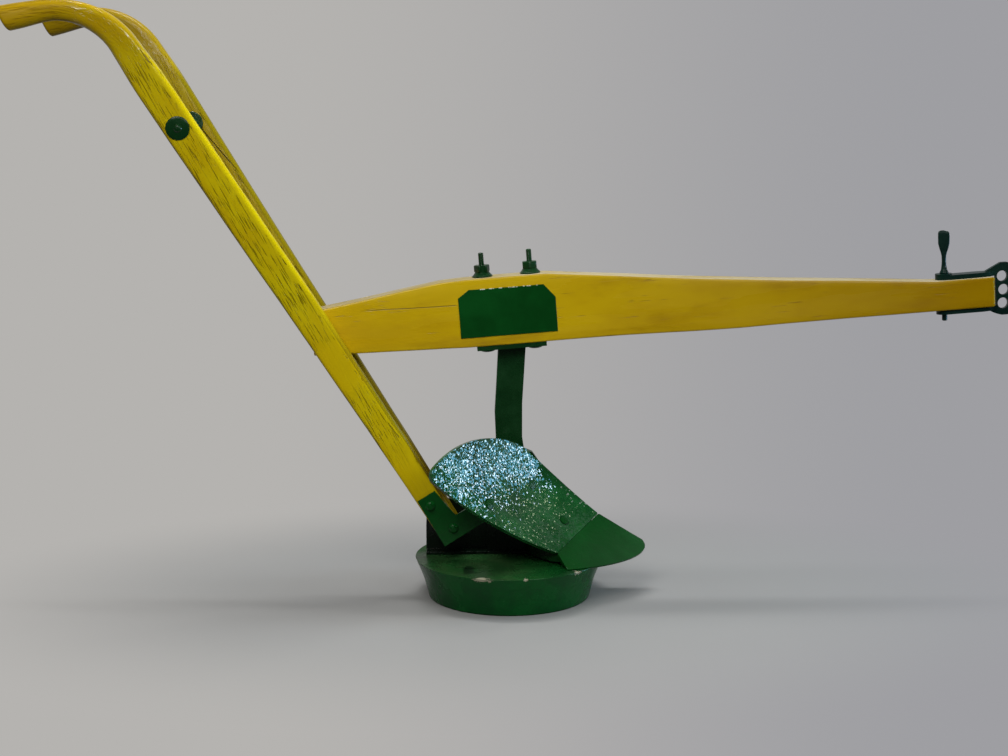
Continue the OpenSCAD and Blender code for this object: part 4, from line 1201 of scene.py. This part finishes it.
wood_beam = painted_wood("beam_yellow", srgb(207, 174, 8), srgb(195, 160, 6), srgb(112, 84, 4), beam_marks,
                         streaks=-0.06, checks=-0.03, depth=0.0002, specular=0.3)
wood_handle = painted_wood("handle_yellow", srgb(206, 188, 10), srgb(192, 166, 6), srgb(72, 62, 2),
                           handle_marks, streaks=0.06, checks=0.03, depth=0.0005, specular=0.12,
                           turn=-4.1, fibre=(20, 400, 400), ridge=True)
paint = cast_paint("green_paint_gloss", srgb(12, 56, 22), srgb(8, 45, 16), marks=frame_painted_shade)
paint_plate = cast_paint("plate_paint", srgb(9, 73, 24), srgb(7, 60, 18), (0.14, 0.22), 0.0002,
                         marks=plate_marks, specular=0.2)
paint_clevis = cast_paint("clevis_paint", srgb(10, 39, 31), srgb(8, 31, 27), (0.25, 0.38), specular=0.14)
paint_share = cast_paint("share_paint", srgb(9, 65, 21), srgb(8, 57, 17), (0.20, 0.28), 0.0003, 320.0,
                         specular=0.12)
paint_board = cast_paint("moldboard_paint", srgb(24, 84, 38), srgb(14, 62, 26), (0.07, 0.10), 0.00008, 300.0,
                         marks=board_marks, tilt=0.30, specular=0.5)
paint_plinth = cast_paint("plinth_green", srgb(3, 76, 26), srgb(5, 58, 22), (0.18, 0.32), 0.0006, 110.0,
                          marks=plinth_marks, specular=0.14)

# Material, the record's slot that its pieces take their finish from, and the pieces
DRESS = [
    (paint_board, "green_paint", [moldboard]), (paint_share, "green_paint", [share, plough_bolts]),
    (wood_handle, "yellow_wood", [handle_right, handle_left]), (wood_beam, "yellow_wood", [beam]),
    (paint_plinth, "plinth_paint", [plinth]),
    (paint, "green_paint", [standard, landside, rung, heel_bolts]),
    (paint, "green_paint", [beam_bolts, beam_washers, beam_nuts, rung_caps]),
    (paint_plate, "green_paint", [bracket, nameplate, bracket_bolts]),
    (paint_clevis, "green_paint", [clevis, hitch_pin]),
]
for material, slot, pieces in DRESS:
    for ob in pieces:
        ob.data.materials.clear()
        ob.data.materials.append(material)
        for poly in ob.data.polygons:
            poly.material_index = 0
        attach(ob, {"clevis_forging": "clevis", "drop_pin": "hitch_pin"}.get(ob.name, "plough"))


# Floor and backdrop

BACKDROP_LEFT, BACKDROP_RIGHT = srgb(181, 179, 176), srgb(158, 158, 162)
BACKDROP_CENTRE = (-0.14, -3.14, 0.92)
FLOOR = srgb(151, 151, 150)
DIM = 0.12  # glow of the far floor as a lamp, which the camera doesn't see


def backdrop_colour(g, way):
    """Pale board that darkens toward the clevis end."""
    return g.blend(g.ramp(g.xyz(way)[0], -0.12, 0.30), BACKDROP_LEFT, BACKDROP_RIGHT)


def shown(g, reflected):
    """1 for the camera, and as much as reflected says for rays off or through shiny surfaces."""
    path = g.add("ShaderNodeLightPath")
    shiny = g.most(path.outputs["Is Glossy Ray"], path.outputs["Is Transmission Ray"])
    return g.most(path.outputs["Is Camera Ray"], g.times(shiny, reflected))


def floor_material():
    """Matt pale floor that glows like the backdrop further out."""
    g = Surface("pale_floor")
    place = g.coords()
    g.finish(g.blend(g.noise(place, 3.0, 3.0), FLOOR, times_colour(FLOOR, 1.06)), 0.6, specular=0.2)
    way = g.vector("NORMALIZE", g.vector("SUBTRACT", place, BACKDROP_CENTRE))
    seen = shown(g, g.ramp(g.xyz(place)[1], -0.6, -0.3))
    inputs = {"Color": backdrop_colour(g, way), "Strength": g.ramp(seen, 0.0, 1.0, DIM, 1.0)}
    glow = g.add("ShaderNodeEmission", inputs)
    spread = g.length(place, (0.8, 1.2, 1.0))
    fade = g.mix_shader(g.ramp(spread, 0.30, 0.90), g.bsdf.outputs[0], glow.outputs[0])
    g.link(fade, g.out.inputs[0])
    return g.mat


def make_floor():
    disc = bmesh.new()
    bmesh.ops.create_circle(disc, cap_ends=True, segments=96, radius=14)
    mesh = bpy.data.meshes.new("floor")
    disc.to_mesh(mesh)
    disc.free()
    mesh.materials.append(floor_material())
    floor = bpy.data.objects.new("floor", mesh)
    bpy.context.scene.collection.objects.link(floor)


def make_world():
    """Pale backdrop, seen by the camera all round and in reflections on the landside's side."""
    world = bpy.data.worlds.new("studio")
    bpy.context.scene.world = world
    g = Graph(world)
    way = g.add("ShaderNodeTexCoord").outputs["Generated"]
    soft = g.add("ShaderNodeBackground", {"Color": (0.9, 0.95, 1.0, 1), "Strength": 0.06})
    seen = g.add("ShaderNodeBackground", {"Color": backdrop_colour(g, way)})
    factor = shown(g, g.ramp(g.xyz(way)[1], -0.1, 0.5))
    g.add("ShaderNodeOutputWorld", {0: g.mix_shader(factor, soft.outputs[0], seen.outputs[0])})


make_floor()
make_world()


# Lights and camera

BOARD_AT = (0.0, -0.08, 0.24)


def area(name, at, target, size, power, colour, size_y=None):
    """Area light of size by size_y metres that faces the target; it is square without a size_y."""
    light = bpy.data.lights.new(name, "AREA")
    light.shape = "RECTANGLE"
    light.size = size
    light.size_y = size_y or size
    light.energy = power
    light.color = colour
    ob = bpy.data.objects.new(name, light)
    bpy.context.scene.collection.objects.link(ob)
    ob.location = at
    ob.rotation_euler = (Vector(target) - Vector(at)).to_track_quat("-Z", "Y").to_euler()
    return ob


area("key", (-0.7, -2.2, 2.2), (0.05, 0, 0.4), 1.3, 40, (1.0, 0.98, 0.95))
area("fill", (1.5, -2.6, 1.9), (0.15, 0, 0.4), 1.4, 28, (0.96, 0.98, 1.0))
# The broad top light is kept out of reflections: the narrow tube is what glints on the bends.
area("top", (0.0, 0.1, 3.0), (0, 0, 0.3), 1.6, 46, (1.0, 1.0, 1.0)).visible_glossy = False
area("tube", (-0.35, 0.50, 3.0), (-0.45, 0.0, 0.9), 1.2, 20, (1.0, 1.0, 1.0), 0.05)
# Windows and a lamp past the clevis are what the moldboard mirrors.
area("sky", (2.8, 0.10, 0.37), BOARD_AT, 1.15, 21, (0.20, 0.62, 1.0), 0.66)
area("window_low", (2.6, 0.00, 0.28), BOARD_AT, 0.40, 7, (0.72, 0.88, 1.0), 0.22)
area("window_high", (2.5, 0.12, 0.76), BOARD_AT, 0.40, 7, (0.66, 0.82, 1.0), 0.20)
area("lamp", (2.2, 0.42, 1.42), BOARD_AT, 0.24, 1.2, (0.85, 1.0, 0.66), 0.16)

CAMERA_AT = (-0.1398, -3.1423, 0.922)
LOOK_DOWN, ROLL, PAN = 9.39, 0.05, -2.39  # degrees

camera_data = bpy.data.cameras.new("camera")
camera_data.lens = 62.93
camera_data.sensor_width = 36
camera_data.clip_start = 0.05
camera_data.clip_end = 60
camera = bpy.data.objects.new("camera", camera_data)
bpy.context.scene.collection.objects.link(camera)
camera.location = CAMERA_AT
camera.rotation_euler = (math.radians(90 - LOOK_DOWN), math.radians(ROLL), math.radians(PAN))
bpy.context.scene.camera = camera
bpy.context.scene.view_settings.view_transform = "Standard"
